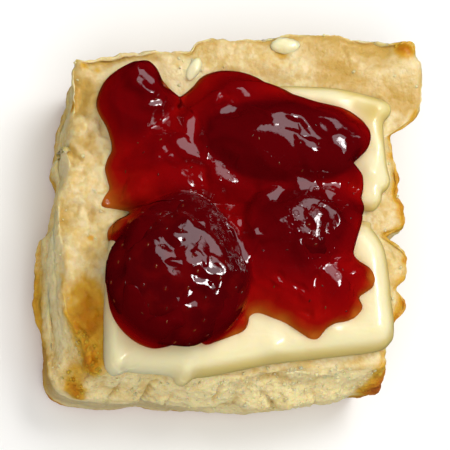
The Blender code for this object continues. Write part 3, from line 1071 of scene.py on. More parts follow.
@dataclass
class Biscuit:
    """The split half: flat base, flaky wall, torn slope in front, toasted rim and uneven top."""

    covers: tuple[Outline, ...]
    rim_line: Outline = Outline((
        (-29.9, 27.7), (-28.2, 28.2), (-25.0, 28.6), (-15.0, 30.3), (-8.6, 31.0), (-6.2, 33.2),
        (5.0, 33.8), (10.0, 34.8), (18.7, 35.5), (22.0, 34.6), (29.6, 34.5), (33.9, 34.7), (35.4, 30.4),
        (35.0, 23.2), (34.5, 21.4), (33.7, 19.9), (31.6, 18.6), (29.4, 17.0), (29.3, 15.4), (30.1, 11.5),
        (31.2, 6.0), (32.0, 0.5), (32.1, -6.5), (32.2, -14.6), (29.8, -17.6), (27.9, -20.6),
        (27.4, -24.0), (26.2, -27.0), (14.0, -27.8), (0.0, -29.0), (-14.0, -29.4), (-22.4, -29.2),
        (-25.0, -30.2), (-26.6, -28.2), (-29.0, -23.6), (-30.9, -18.2), (-31.8, -7.0), (-32.6, 1.5),
        (-30.6, 8.2), (-31.0, 11.6), (-29.8, 18.0)))
    belly_line: Outline = Outline((
        (-28.2, 25.5), (-24.0, 27.6), (-8.0, 30.6), (8.0, 33.0), (24.0, 33.2), (32.6, 32.4), (33.6, 26.0),
        (33.0, 20.4), (29.4, 17.4), (29.4, 13.0), (30.4, 2.0), (30.6, -9.0), (29.8, -16.6), (28.0, -21.5),
        (28.1, -26.0), (28.0, -29.4), (26.6, -30.2), (22.0, -30.4), (17.0, -31.8), (8.0, -33.5),
        (-2.6, -33.9), (-12.0, -33.2), (-15.4, -32.7), (-21.0, -33.2), (-30.0, -32.0), (-32.3, -28.8),
        (-32.8, -22.0), (-33.8, -14.0), (-33.9, -4.0), (-32.2, -1.6), (-31.0, 6.0), (-31.8, 9.8),
        (-30.8, 16.0), (-28.9, 21.5)))
    top: float = 20.0
    rim_drop: float = 0.9
    rim_nicks: tuple = ((-4.6, 4.2, 2.8), (-21.5, 2.0, 2.6), (10.5, 0.8, 3.0), (43.5, 1.0, 1.6))
    belly_side: float = 9.0
    belly_front: float = 13.0
    base_inset: float = 1.3
    base_edge: float = 0.9
    base_rings: tuple = (0.3, 0.6, 0.85, 0.93, 0.965, 0.985)
    base_lift: float = 0.25
    rim_rag: float = 0.34
    belly_rag: float = 0.25
    seat_sag: float = 1.3
    seat_sag_band: tuple[float, float] = (-1.4, 2.6)
    rim_round: float = 0.8
    pinch: tuple[float, float] = (0.07, 0.06)
    layer_starts: tuple = (0.0, 0.17, 0.42, 0.6, 0.82, 1.0)
    layer_rows: int = 15
    layer_round: float = 30.0
    layer_apart: float = 40.0
    groove: float = 0.6
    slip: float = 0.8
    lift: float = 0.9
    relief: float = 0.75
    relief_sink: float = 0.25
    seat_margin: float = 2.5
    spokes: int = 720
    top_rows: int = 42
    seat_rows: int = 8
    top_band: float = 0.28
    bumps: tuple[Spot, ...] = each(
        Spot, (31.8, 33.0, 20.0, 1.5, 0.9), (8.7, 31.1, 20.0, 1.3, -0.7), (-31.0, 19.8, 18.0, 0.7, 0.8),
        (-28.6, 26.8, 20.0, 1.2, 0.5), (-28.6, 4.6, 20.0, 3.2, 0.7), (-28.8, -7.4, 20.0, 3.6, 0.5),
        (-27.4, 16.0, 20.0, 2.8, 0.6), (-24.2, -1.2, 20.0, 1.6, 0.5))
    cracks: tuple[Crack, ...] = each(
        Crack, ((-2.9, -32.8), (-2.5, -30.2), 0.36, 1.6), ((8.6, -33.4), (5.8, -31.4), 0.4, 1.5),
        ((-15.8, -33.0), (-14.2, -30.2), 0.36, 1.2), ((-21.8, -33.0), (-20.4, -30.4), 0.3, 1.0),
        ((-32.0, 12.8), (-28.9, 9.9), 0.6, 1.3), ((-11.4, -33.6), (-10.6, -31.8), 0.25, 0.8),
        ((16.5, -32.5), (15.2, -30.6), 0.25, 0.8), ((20.4, 33.0), (21.6, 29.5), 0.3, 0.5))
    crags: tuple[Spot, ...] = each(
        Spot, (-26.4, -27.6, 18.8, 2.4, 0.8), (-28.4, -23.6, 19.0, 1.8, 0.5),
        (-27.6, -31.0, 12.0, 1.6, 0.35), (31.8, 33.0, 20.0, 1.6, 0.25))
    # Up to what height, and how strongly, the foot of the front wall gets painted shade.
    ledge: float = 10.0
    ledge_shade_share: float = 0.55
    crumbs: tuple[int, int, int] = (180, 45, 36)
    crumb_half: tuple[float, float] = (0.14, 0.36)
    crumb_dents: float = 0.35
    crumb_toast: float = 0.8
    toasted: tuple[Spot, ...] = each(
        Spot, (-27.4, -13.5, 20.0, 3.6, 0.20), (-26.6, -18.5, 20.0, 3.9, 0.44),
        (-26.8, -22.6, 20.0, 3.2, 0.28), (-26.6, -27.4, 19.0, 2.8, 0.50), (32.0, 33.4, 20.0, 1.9, 0.75),
        (-28.3, 27.0, 20.0, 0.8, 0.35), (-25.7, 26.8, 20.0, 0.9, 0.3), (-33.4, -1.5, 12.0, 1.0, 0.5),
        (-26.8, -4.9, 20.0, 0.7, 0.4), (-30.6, 19.8, 18.0, 1.0, 0.7), (-27.8, -31.0, 13.0, 2.0, 0.78),
        (-28.6, -28.5, 14.0, 2.4, 0.30), (27.4, -29.6, 13.0, 2.7, 0.82), (27.6, -30.0, 7.5, 2.8, 0.62),
        (27.8, -26.8, 15.5, 2.6, 0.40), (23.0, -31.2, 5.0, 2.8, 0.28), (-31.2, -27.0, 8.0, 3.6, 0.22),
        (8.7, 31.4, 19.5, 1.4, 0.3), (-33.6, -24.0, 6.0, 6.0, 0.15), (-33.6, -12.0, 6.0, 6.0, 0.12))
    # Spots on the top that take the hollow colour: a golden tint on the back strip, and a painted shadow of
    # the jam at (-27.4, 14.6).
    tint_and_shadow: tuple[Spot, ...] = each(
        Spot, (19.6, 29.1, 20.0, 8.0, 0.54), (30.0, 25.0, 20.0, 5.0, 0.40), (-2.0, 30.0, 20.0, 4.0, 0.16),
        (-27.2, 21.6, 20.0, 4.0, 0.40), (-25.6, 3.0, 20.0, 3.0, 0.14), (30.0, 5.0, 20.0, 4.0, 0.24),
        (-27.4, 14.6, 20.0, 3.4, 0.44))

    def rim(self, angles: Array) -> Array:
        """Radius of the rim along each angle: its line less its nicks, with a ragged edge."""
        radius = self.rim_line.reach(angles)
        for heading, deep, width in self.rim_nicks:
            turned = np.degrees(np.angle(np.exp(1j * (angles - math.radians(heading)))))
            radius = radius - deep * bell(turned, width)
        return radius + self.rim_rag * rough(place(radius, angles, 0.0), 3.2, 71, 4)

    def covered(self, points: Array) -> Array:
        """How far inside butter or jam each point of the top is, negative where it is bare."""
        return np.max([cover.depth(points) for cover in self.covers], axis=0)

    def surface(self, points: Array) -> Array:
        """Height of the split top: flat where it carries something and uneven beside it.

        Args:
            points: places on the top.

        Returns:
            One height a point.
        """
        ground = flat(points)
        bare = -self.covered(points)
        relief = self.relief * swell(points[..., :2], 13.0, 5) - self.relief_sink
        relief = relief * ramp(bare, 0.0, self.seat_margin)
        torn = bent(ground, 2.2, 0.8, 11)
        soft = (0.26 * rough(ground, 5.0, 12) + 0.34 * lumps(torn, 4.8, 15) + 0.13 * lumps(torn, 1.9, 17)
                + 0.06 * rough(ground, 0.8, 16) - 0.1)
        split = sum(crack.at(ground) for crack in self.cracks)
        crisp = spotted(over(points, 19.0), self.crags) * lumps(torn, 1.2, 19)
        knobs = 0.60 * lumps(torn, 3.4, 21) + 0.24 * lumps(torn, 1.7, 22) - 0.35
        knobs = knobs * ramp(-points[..., 0], 19.0, 25.0)
        fine = (soft + knobs - split + crisp) * ramp(bare, -0.6, 1.2)
        return self.top + relief + fine + spotted(over(points, self.top), self.bumps)

    def rest(self, points: Array) -> Array:
        """Height of what butter rests on: the flat top, sagging where it hangs over the rim."""
        beyond = radius_of(points) - self.rim_line.reach(bearing(points))
        return self.top - self.seat_sag * ramp(beyond, *self.seat_sag_band)

    def wall(self, angles: Array) -> Array:
        """Rings of the side wall, each layer a rounded lip between two grooves.

        A ring's radius runs from the base's through the belly's to the rim's. A layer's form is
        (1 - exp(-s/a)) (1 - exp(-(1-s)/b)) over its own height s, with a and b from pinch.

        Args:
            angles: directions in radians.

        Returns:
            The rings from the base's edge up to the rim.
        """
        front = ramp(-np.sin(angles), 0.45, 0.8)
        belly_height = self.belly_side + (self.belly_front - self.belly_side) * front
        rim_height = self.top - self.rim_drop
        starts = np.array(self.layer_starts)
        layers = len(starts) - 1
        layer = np.repeat(np.arange(layers), self.layer_rows)
        share = np.tile(np.linspace(0.0, 1.0, self.layer_rows, endpoint=False), layers)[:, None]
        level = starts[layer][:, None] + np.diff(starts)[layer][:, None] * share
        around = [(k, place(self.layer_round, angles, self.layer_apart * k)) for k in range(layers)]
        slip = self.slip * np.stack([swell(ring, 17.0, 20 + k) for k, ring in around])[layer]
        groove = self.groove * np.stack([1.0 + swell(ring, 14.0, 40 + k) for k, ring in around])[layer]
        wave = self.lift * np.stack([swell(ring, 22.0, 60 + k) for k, ring in around])[layer]
        lip = np.maximum(np.stack([rough(ring, 9.0, 80 + k) for k, ring in around]), 0.0)[layer]
        groove = np.maximum(groove, 0.1) * (1.0 - 0.8 * front)
        height = self.base_edge + (rim_height - self.base_edge) * level
        lower = np.clip(height / belly_height, 0.0, 1.0)
        upper = np.clip((height - belly_height) / (rim_height - belly_height), 0.0, 1.0)
        ragged = self.belly_rag * rough(place(34.0, angles, 0.0), 3.0, 73)
        belly = self.belly_line.reach(angles) + ragged
        inset = self.base_inset + front * np.where(np.cos(angles) < 0.0, 2.2, 1.1) * np.cos(angles)
        radius = belly - inset * (1.0 - lower) ** 2 + (self.rim(angles) - belly) * upper
        free = np.where(layer[:, None] > 0, np.sqrt(np.sin(math.pi * np.maximum(level, 1e-6))), 0.35)
        free = free * (1.0 - 0.96 * front)
        low, high = self.pinch
        pinch = (1.0 - np.exp(-share / low)) * (1.0 - np.exp((share - 1.0) / high))
        flake = 0.75 * lip * bell(share - 0.84, 0.13) * (1.0 - front)
        offset = (slip * pinch + groove * (1.5 * pinch - 1.0) + flake) * free
        droop = 0.35 * bell(share - 0.12, 0.1) * lip
        return place(radius + offset, angles, height + wave * free - droop)

    def rings(self) -> tuple[Array, Array]:
        """The whole skin before its fine relief: base, wall, rim and top.

        Returns:
            The rings and each row's zone.
        """
        angles = directions(self.spokes)
        wall = self.wall(angles)
        base = place(radius_of(wall[0]) * np.array(self.base_rings)[:, None], angles, 0.0)
        base[-1, :, 2] = self.base_lift
        rim = self.rim(angles)
        edge = place(rim, angles, self.top - self.rim_drop)[None]
        band = 1.0 - self.top_band * np.linspace(0.0, 1.0, self.top_rows + 1)[1:]
        seat = (1.0 - self.top_band) * np.linspace(1.0, 0.0, self.seat_rows, endpoint=False)[1:]
        top = place(rim * np.concatenate((band, seat))[:, None], angles, 0.0)
        top[..., 2] = self.surface(top) - self.rim_drop * np.exp((radius_of(top) - rim) / self.rim_round)
        zone = np.repeat([Zone.BASE, Zone.WALL, Zone.TOP], [len(base), len(wall) + 1, len(top)])
        return np.concatenate((base, wall, edge, top)), zone

    def crumb(self, points: Array, zone: Array) -> Array:
        """Fine relief of the skin: torn lumps on the slope, soft folds on the wall.

        Args:
            points: the skin's rings.
            zone: each row's zone.

        Returns:
            How far each point moves outwards.
        """
        angles, height = bearing(points), points[..., 2]
        front = ramp(-np.sin(angles), 0.5, 0.72) * ramp(height, 7.0, 12.0) * ramp(20.3 - height, 0.0, 2.0)
        upright = points * np.array((1.0, 1.0, 0.35))
        pulled = bent(points, 3.0, 1.1, 50)
        split = sum(crack.at(points) for crack in self.cracks) * ramp(height, 5.0, 12.0)
        crisp = spotted(points, self.crags) * lumps(pulled, 1.2, 53)
        torn = (1.25 * lumps(pulled, 8.5, 51) + 0.24 * lumps(pulled, 3.0, 54)
                + 0.20 * lumps(pulled, 1.3, 55) + 0.14 * rough(points, 0.9, 57)
                - 0.3 - 0.7 * ramp(-np.cos(angles), 0.05, 0.4))
        doughy = (0.34 * rough(upright, 6.5, 61) + 0.26 * lumps(pulled, 3.8, 63)
                  + 0.13 * lumps(pulled, 1.6, 64) + 0.06 * rough(points, 0.9, 66))
        wall = doughy * (1.0 - front) + torn * front - split + crisp
        share = {Zone.BASE: 0.25, Zone.WALL: 1.0, Zone.TOP: 0.0}
        lying = np.array([share[row] for row in Zone])[zone][:, None]
        return wall * lying * ramp(height, 0.2, 2.5)

    def browning(self, points: Array, zone: Array, relief: Array) -> Array:
        """How brown each point is: toast at named spots, the base, the right rim and raised crags, and a
        band low on the wall that is partly toast and partly painted shade.

        Args:
            points: the skin's rings.
            zone: each row's zone.
            relief: the fine relief at each point.

        Returns:
            A number from 0 to about 1.
        """
        angles = bearing(points)
        noise = rough(points, 3.0, 91)
        spots = spotted(points, self.toasted) * (1.0 + 0.35 * noise)
        edge = bell(self.rim(angles) - radius_of(points), 1.6) * bell(points[..., 2] - self.top, 3.0)
        right = ramp(points[..., 0], 24.0, 30.0) * ramp(24.0 - points[..., 1], 0.0, 5.0)
        rim = edge * (0.06 + 0.26 * right) * (1.0 + 0.9 * noise)
        torn = ramp(-np.sin(angles), 0.6, 0.75)
        # Real browning at the foot, and a weaker band up to 14 mm away from the torn front, partly painted
        # shade.
        base = (0.70 * (1.0 - ramp(points[..., 2], 0.3, 2.6 + 1.2 * noise))
                + 0.30 * (1.0 - 0.7 * torn) * (1.0 - ramp(points[..., 2], 1.0, 14.0)))
        crust = 0.10 * (1.0 - ramp(-np.sin(angles), 0.4, 0.7)) * ramp(relief, 0.0, 0.8)
        wall = np.where(zone[:, None] == Zone.WALL, crust, 0.0)
        return np.clip(spots + rim + base + wall, 0.0, 1.0)

    def marks(self, rings: Array, zone: Array, relief: Array) -> dict[Mark, Array]:
        """What the finish reads: browning, hollows with painted shade and shadow, waxy places, and the
        painted shade on the foot of the front.

        Args:
            rings: the skin's rings.
            zone: each row's zone.
            relief: the fine relief at each point.

        Returns:
            One number a point for each mark.
        """
        on_top = zone[:, None] == Zone.TOP
        # Lower places on the top, and creases of the wall, get more of the hollow colour: painted shade.
        dip = np.where(on_top, 0.75 * (self.top + 0.1 - rings[..., 2]), -0.6 * relief)
        # Golden tint and painted shadow from the listed spots.
        tint_and_shadow = np.where(on_top, spotted(over(rings, self.top), self.tint_and_shadow), 0.0)
        torn = ramp(-np.sin(bearing(rings)), 0.5, 0.7)
        # The foot of the front-left wall below a ragged ledge gets painted shade, where the crumb above
        # leaves it unlit.
        ledge = self.ledge + 0.9 * rough(flat(rings), 4.0, 93)
        left = ramp(-rings[..., 0], 0.0, 10.0)
        below = torn * left * ramp(ledge - rings[..., 2], 0.0, 1.2) * ramp(rings[..., 2], 0.0, 6.0)
        return {Mark.BROWNING: self.browning(rings, zone, relief), Mark.HOLLOW: 0.5 + 0.6 * dip + tint_and_shadow,
                Mark.WAX: np.where(on_top, 1.0, 0.7 * (1.0 - torn)), Mark.SIDE: self.ledge_shade_share * below}

    def build(self, material: bpy.types.Material) -> bpy.types.Object:
        """Skins the biscuit as one closed piece with its browning and hollows.

        Args:
            material: its finish.

        Returns:
            The piece that stands for the biscuit.
        """
        rings, zone = self.rings()
        relief = self.crumb(rings, zone)
        skin = rings + normals(rings) * relief[..., None]
        skin[..., 2] = np.maximum(skin[..., 2], 0.0)
        piece = make_loft("biscuit_crumb", skin, material, self.marks(rings, zone, relief))
        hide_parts("biscuit")
        self._scatter(skin, material)
        return piece

    def _scatter(self, skin: Array, material: bpy.types.Material) -> None:
        """Lays loose crumbs on the torn front and the crisp corner, half sunk in the skin.

        Args:
            skin: the biscuit's finished rings.
            material: their finish.
        """
        random = np.random.default_rng(77)
        facing = normals(skin)[..., 2]
        bare = (self.covered(skin) < -0.5) & (facing > 0.35) & (skin[..., 2] > 8.0)
        zones = skin[..., 1] < -27.0, spotted(skin, self.crags[:2]) > 0.15, skin[..., 2] > 17.0
        picks = [skin[bare & zone][random.choice((bare & zone).sum(), count, replace=False)]
                 for zone, count in zip(zones, self.crumbs)]
        centres = np.concatenate(picks)
        spin = np.linalg.qr(random.normal(size=(len(centres), 3, 3)))[0]
        spin *= np.sign(np.linalg.det(spin))[:, None, None]
        half = random.uniform(*self.crumb_half, (len(centres), 1))
        axes = spin * (half * random.uniform(0.7, 1.3, (len(centres), 3)))[..., None]
        toast = spotted(centres, self.toasted) + random.normal(0.0, 0.03, len(centres))
        toast = np.clip(toast, 0.0, self.crumb_toast)
        crumbs = make_scatter("biscuit_crumbs", centres, axes, material, self.crumb_dents, toast)


@dataclass
class Berry:
    """A whole cooked strawberry lying in the jam, its length along its heading."""

    name: str
    middle: tuple[float, float, float]
    half: tuple[float, float, float]
    depth: float
    heading: float
    taper: float
    coat: float
    climb: float
    fillet: float
    seed_spacing: float
    wider: float = 1.3
    blunt: float = 2.0
    fall: float = 1.0
    ridge: float = 0.0
    ridge_heading: float = 0.0
    ridge_at: float = 0.8
    ridge_width: float = 0.6
    dark: float = 0.2
    tilt: float = 0.16
    sheens: tuple[Sheen, ...] = ()
    seed_half: tuple[float, float, float] = (0.34, 0.16, 0.11)
    seed_sunk: float = 0.07
    pulp: float = 0.04
    pit: float = 0.09
    pit_width: float = 0.85
    flat_limits: tuple[float, float] = (-0.9, 0.7)
    dents: float = 0.16
    spokes: int = 300
    rows: int = 150

    def narrowing(self, along: Array) -> Array:
        """How narrow the berry is along its length, from 1 at the stalk."""
        return 1.0 - self.taper * ramp(along, -0.2, 1.1)

    def shaped(self, skin: Array) -> Array:
        """Places points of a unit ball on the berry: tapered to the tip, flat below, dented.

        Args:
            skin: points on the unit ball, the tip at +X.

        Returns:
            The same points on the berry.
        """
        half = np.array(self.half)
        narrow = self.narrowing(skin[..., 0])
        sunk = np.where(skin[..., 2] < 0.0, self.depth / half[2], 1.0)
        dents = 1.0 + self.dents / half[2] * swell(skin * half, 7.0, len(self.name))
        form = np.stack((dents, narrow * dents, narrow * dents * sunk), axis=-1)
        return (skin * form * half) @ turn(self.heading) + self.middle

    def spread(self, points: Array, wider: float = 1.0) -> tuple[Array, Array]:
        """How far out each point of the plane is on the berry's plan: |x|^n + |y|^n, tapered.

        Args:
            points: places in the plane.
            wider: how much wider than the fruit the plan is taken.

        Returns:
            The sum, which is 1 on the plan's edge, and how narrow the plan is there.
        """
        own = (points - self.middle) @ turn(self.heading).T / self.half / wider
        narrow = self.narrowing(own[..., 0])
        return np.abs(own[..., 0]) ** self.blunt + np.abs(own[..., 1] / narrow) ** self.blunt, narrow

    def crown(self, points: Array) -> Array:
        """Height of the syrup over the berry at each point of the plane, low beside it.

        It is a tapered dome (1 - |x|^n - |y|^n)^p a little wider than the fruit, n being how blunt
        it is and p how it falls, steeper outside, with a thin ridge of jelly along one side.

        Args:
            points: places in the plane.

        Returns:
            One height a point.
        """
        out, narrow = self.spread(points, self.wider)
        inside = np.clip(1.0 - out, 0.0, 1.0) ** self.fall
        beside = -1.25 / self.fall * np.clip(out - 1.0, 0.0, 4.0)
        side = bearing(points - self.middle) - math.radians(self.ridge_heading)
        side = ramp(np.cos(side), 0.35, 0.8)
        ridge = self.ridge * side * bell((np.sqrt(out) - self.ridge_at) * self.half[1], self.ridge_width)
        return self.middle[2] + self.half[2] * (narrow * inside + beside) + ridge

    def seed_spots(self) -> Array:
        """Seed places on the unit ball: rows round the berry, each turned half a step on."""
        girth = math.pi * self.half[1]
        rows = int(math.pi * self.half[0] / self.seed_spacing)
        along = (np.arange(rows) + 0.5) / rows * math.pi
        random = np.random.default_rng(len(self.name) + 40)
        spots = []
        for number, angle in enumerate(along):
            count = max(3, int(2.0 * girth * math.sin(angle) / self.seed_spacing / 1.15))
            around = (np.arange(count) + 0.5 * (number % 2)) / count * FULL_TURN
            around = around + random.normal(0.0, 0.05, count)
            spots.append(on_ball(angle + random.normal(0.0, 0.03, count), around))
        return np.concatenate(spots)

    def dimples(self, skin: Array, spots: Array) -> Array:
        """How deep each point of the skin is in a seed's dimple, from 0 to 1.

        Args:
            skin: points on the unit ball.
            spots: seed places on the unit ball.

        Returns:
            One number a point.
        """
        half = np.array(self.half)
        places = (skin * half).reshape(-1, 3)
        spots = spots * half
        gaps = [np.linalg.norm(part[:, None] - spots, axis=-1).min(axis=1) for part in chunks(places)]
        return bell(np.concatenate(gaps), self.pit_width).reshape(skin.shape[:-1])

    def flats(self, points: Array, skin: Array) -> Array:
        """Height of the syrup's flats on the berry's upper side.

        Args:
            points: places on the berry.
            skin: the same places on the unit ball.

        Returns:
            How far each point moves outwards.
        """
        seed = len(self.name)
        pulled = bent(flat(points), 3.0, 0.8, seed)
        both = self.tilt * (facets(pulled, 7.0, seed) + 0.3 * facets(pulled, 3.0, seed + 1))
        spots = middles(self.sheens)
        laid = with_sheens(points, self.sheens, points[..., 2] + both, self.crown(spots))
        return np.clip(laid - points[..., 2], *self.flat_limits) * ramp(skin[..., 2], 0.0, 0.4)

    def build(self, material: bpy.types.Material) -> bpy.types.Object:
        """Skins the berry, pressed in a little round each seed.

        Args:
            material: its finish.

        Returns:
            The piece that stands for the node of the same name.
        """
        skin = ball(self.spokes, self.rows)
        pits = self.dimples(skin, self.seed_spots())
        rings = self.shaped(skin)
        relief = self.pulp * rough(rings, 2.4, 33) - self.pit * pits + self.flats(rings, skin)
        rings = rings + normals(rings) * relief[..., None]
        marks = {Mark.HOLLOW: pits, Mark.FROTH: frothy(rings)}
        piece = make_loft(self.name + "_fruit", rings, material, marks)
        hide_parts(self.name)
        return piece

    def seeds(self, jam: "Jam") -> tuple[Array, Array]:
        """Where the berry's seeds show: each in its dimple, long towards the tip.

        Args:
            jam: what covers some of them.

        Returns:
            The seeds' centres and their three half-axes.
        """
        spots = self.seed_spots()
        nudge = 0.02
        centres = self.shaped(spots)
        tipward = self.shaped(unit(spots + (nudge, 0.0, 0.0))) - centres
        sideways = self.shaped(unit(np.cross(spots, (1.0, 0.0, 0.0)) * nudge + spots)) - centres
        outward = unit(np.cross(tipward, sideways))
        outward = outward * np.sign(np.sum(outward * (centres - self.middle), axis=-1, keepdims=True))
        axes = lying_axes(tipward, outward, self.seed_half)
        centres = centres + (self.flats(centres, spots)[:, None] - self.seed_sunk) * outward
        shown = centres[:, 2] > jam.height(centres) - 0.2
        return centres[shown], axes[shown]


@dataclass
class Jam:
    """The pool of strawberry jelly over butter and bread, climbing a little way up each berry."""

    biscuit: Biscuit
    pats: tuple[Pat, ...]
    berries: tuple[Berry, ...]
    outline: Outline
    centre: tuple[float, float] = (-2.0, 0.0)
    pool: float = 3.2
    mound: float = 2.2
    slope: float = 0.85
    skirt: float = 1.8
    tilt: float = 0.28
    shave: float = 0.42
    raise_by: float = 1.1
    spokes: int = 640
    edge_rows: int = 56
    inner_rows: int = 84
    under_rings: tuple = (0.2, 0.5, 0.75, 0.9, 0.97, 1.0)
    edge_band: float = 3.0
    sunk: float = 0.3
    thinnest: float = 0.08
    least: float = 0.12
    loose_seeds: int = 70
    seed_half: tuple[float, float, float] = (0.33, 0.16, 0.10)
    lumps: tuple[Spot, ...] = each(
        Spot, (21.0, 6.0, 0.0, 2.0, 2.6), (20.5, 0.4, 0.0, 2.6, 2.0), (16.0, -13.0, 0.0, 4.5, 1.2),
        (18.5, -7.5, 0.0, 3.2, 1.4), (-1.0, 23.5, 0.0, 5.5, 2.2), (-6.0, 15.0, 0.0, 4.5, 1.0),
        (-14.5, 10.5, 0.0, 4.5, 1.2), (2.5, -9.5, 0.0, 3.5, 1.0), (1.8, 4.1, 0.0, 4.5, 1.6),
        (-8.0, 5.5, 0.0, 4.0, 0.8), (17.0, 4.0, 0.0, 4.0, 1.2))
    thins: tuple[Spot, ...] = each(
        Spot, (-13.0, 24.2, 0.0, 2.4, 0.92), (-23.4, 2.2, 0.0, 1.7, 0.8), (-23.0, -3.8, 0.0, 1.5, 0.8),
        (24.2, -11.0, 0.0, 1.9, 0.85), (21.2, -18.0, 0.0, 1.7, 0.8), (13.4, -22.2, 0.0, 1.6, 0.8),
        (2.6, -18.5, 0.0, 2.0, 0.85), (7.6, -19.9, 0.0, 1.6, 0.8), (-1.0, -22.4, 0.0, 1.4, 0.6),
        (9.4, 23.4, 0.0, 1.3, 0.5), (20.6, 5.6, 0.0, 1.5, 0.6))
    sheens: tuple[Sheen, ...] = each(
        Sheen, (-10.2, 10.4, 4.4, 1.8, -25.0), (-9.9, 14.9, 3.6, 1.5, 95.0), (-3.7, 17.8, 2.2, 1.6, 0.0),
        (-4.2, 6.4, 3.8, 2.2, -50.0), (14.4, -10.6, 5.4, 1.5, -42.0), (-18.7, 23.9, 3.0, 1.2, -58.0),
        (-16.6, 18.5, 2.8, 1.1, 15.0), (4.4, 11.4, 5.2, 3.4, -10.0, DULL_SLOPE),
        (7.6, 14.9, 6.2, 1.0, -27.0), (17.2, 15.2, 5.6, 2.9, -22.0), (5.1, 2.3, 3.8, 1.6, 10.0),
        (9.8, 5.0, 2.4, 1.2, -60.0), (14.3, 2.9, 2.8, 1.2, 5.0), (15.0, -0.5, 1.8, 1.4, 70.0),
        (8.7, -1.5, 1.8, 1.4, 0.0), (-1.5, -6.9, 5.5, 0.7, -65.0), (-1.3, -2.8, 1.5, 0.9, -60.0),
        (1.5, -5.2, 1.3, 0.9, 20.0), (5.8, -13.0, 1.6, 1.0, -50.0), (9.7, -14.8, 2.1, 0.9, -35.0),
        (11.3, -19.0, 1.4, 0.7, -15.0), (-14.9, 13.9, 1.9, 0.5, -12.0),
        (16.9, 12.6, 2.2, 1.9, 20.0, BRIGHT_SLOPE), (17.5, -8.6, 2.0, 0.6, 0.0, BRIGHT_SLOPE),
        (19.4, -14.0, 1.1, 0.5, -60.0, BRIGHT_SLOPE))

    def support(self, points: Array) -> Array:
        """Height of what the jam lies on: the higher of the bread and the butter."""
        tops = [pat.top(self.biscuit, points) for pat in self.pats]
        return np.max([self.biscuit.surface(points), *tops], axis=0)

    def bed(self, points: Array) -> Array:
        """What the jam's form follows: its support at its edge, with softened steps further in.

        Args:
            points: places in the plane.

        Returns:
            One height a point.
        """
        real = self.support(points)
        soft = np.max([self.biscuit.top + pat.thickness * ramp(pat.outline.depth(points), -4.0, 4.0)
                       for pat in self.pats], axis=0)
        return real + (soft - real) * ramp(self.outline.depth(points), 0.6, 4.5)

    def form(self, points: Array) -> Array:
        """Height of the jelly before its sheens: a pool that rises from its edge, and fruit.

        The pool is its thickness times 1 - exp(-inward / slope) over its bed, thinner at named
        places and tilted into flats. It is merged with the berries' domes of syrup by a fillet, and
        these come down to its edge in a quarter of an ellipse.

        Args:
            points: places in the plane.

        Returns:
            One height a point.
        """
        ground = flat(points)
        inward = np.maximum(self.outline.depth(points), 0.0)
        rise = 1.0 - np.exp(-inward / self.slope)
        thin = np.clip(1.0 - spotted(ground, self.thins), self.thinnest, 1.0)
        thick = self.pool * (1.0 + 0.12 * rough(ground, 6.0, 23)) + self.mound * ramp(inward, 1.0, 8.0)
        pulled = bent(ground, 3.0, 0.8, 22)
        flats = self.tilt * (facets(pulled, 7.0, 24) + 0.3 * facets(pulled, 3.2, 25))
        thick = thick + spotted(ground, self.lumps) + flats
        pool = self.bed(points) - 0.05 + thick * thin * rise + 0.03 * rough(ground, 1.6, 27) * rise
        film = flats + 0.03 * rough(ground, 1.5, 35)
        edge = np.sqrt(1.0 - (1.0 - np.clip(inward / self.skirt, 0.0, 1.0)) ** 2)
        jelly = pool
        for berry in self.berries:
            syrup = np.minimum(berry.crown(points) + berry.coat + film, pool + berry.climb)
            jelly = merged(jelly, syrup, berry.fillet)
        jelly = pool + (jelly - pool) * edge * thin
        return np.maximum(jelly, self.support(points) + self.least * rise)

    def height(self, points: Array) -> Array:
        """Height of the jelly: its form with the sheens laid in, but never far from it.

        Args:
            points: places in the plane.

        Returns:
            One height a point.
        """
        form = self.form(points)
        laid = with_sheens(points, self.sheens, form, self.form(middles(self.sheens)))
        lowest = form - self.shave * ramp(self.outline.depth(points), 0.5, 2.0)
        return np.clip(laid, lowest, form + self.raise_by)

    def build(self, material: bpy.types.Material) -> bpy.types.Object:
        """Skins the jam: an underside just inside what carries it, and the wet upper surface.

        Args:
            material: its finish.

        Returns:
            The piece that stands for the jam.
        """
        inset = self.edge_band * np.linspace(0.0, 1.0, self.edge_rows) ** 1.7
        angles, reach, upper = self.outline.rings(self.centre, self.spokes, inset, self.inner_rows)
        upper[..., 2] = self.height(upper)
        under = place(reach * np.array(self.under_rings)[:, None], angles, 0.0, self.centre)
        under[..., 2] = self.support(under) - self.sunk
        depth = (upper[..., 2] - self.bed(upper)) / JamFinish.full
        for berry in self.berries:
            depth = depth + berry.dark * ramp(1.0 - np.sqrt(berry.spread(upper)[0]), -0.10, 0.08)
        depth = np.concatenate((np.zeros(under.shape[:-1]), np.clip(depth, 0.0, 1.0)))
        skin = np.concatenate((under, upper))
        piece = make_loft("jam_jelly", skin, material, {Mark.DEPTH: depth, Mark.FROTH: frothy(skin)})
        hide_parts("jam")
        return piece

    def seeds(self) -> tuple[Array, Array]:
        """Loose seeds lying flat in the skin of the jelly, each at its own turn.

        Returns:
            Their centres and their three half-axes.
        """
        random = np.random.default_rng(88)
        low, high = self.outline.line().min(axis=0), self.outline.line().max(axis=0)
        places = random.uniform(low, high, (self.loose_seeds, 2))
        places = np.concatenate((places, np.zeros((len(places), 1))), axis=1)
        places = places[self.outline.depth(places) > 1.2]
        nudge = 0.15
        level = self.height(places)
        fall = [(self.height(places + step) - level) / nudge for step in np.eye(3)[:2] * nudge]
        places[:, 2] = level - 0.05
        outward = unit(np.stack((-fall[0], -fall[1], np.ones(len(places))), axis=-1))
        angle = random.uniform(0.0, FULL_TURN, len(places))
        along = np.stack((np.cos(angle), np.sin(angle), np.zeros(len(places))), axis=-1)
        return places, lying_axes(along, outward, self.seed_half)


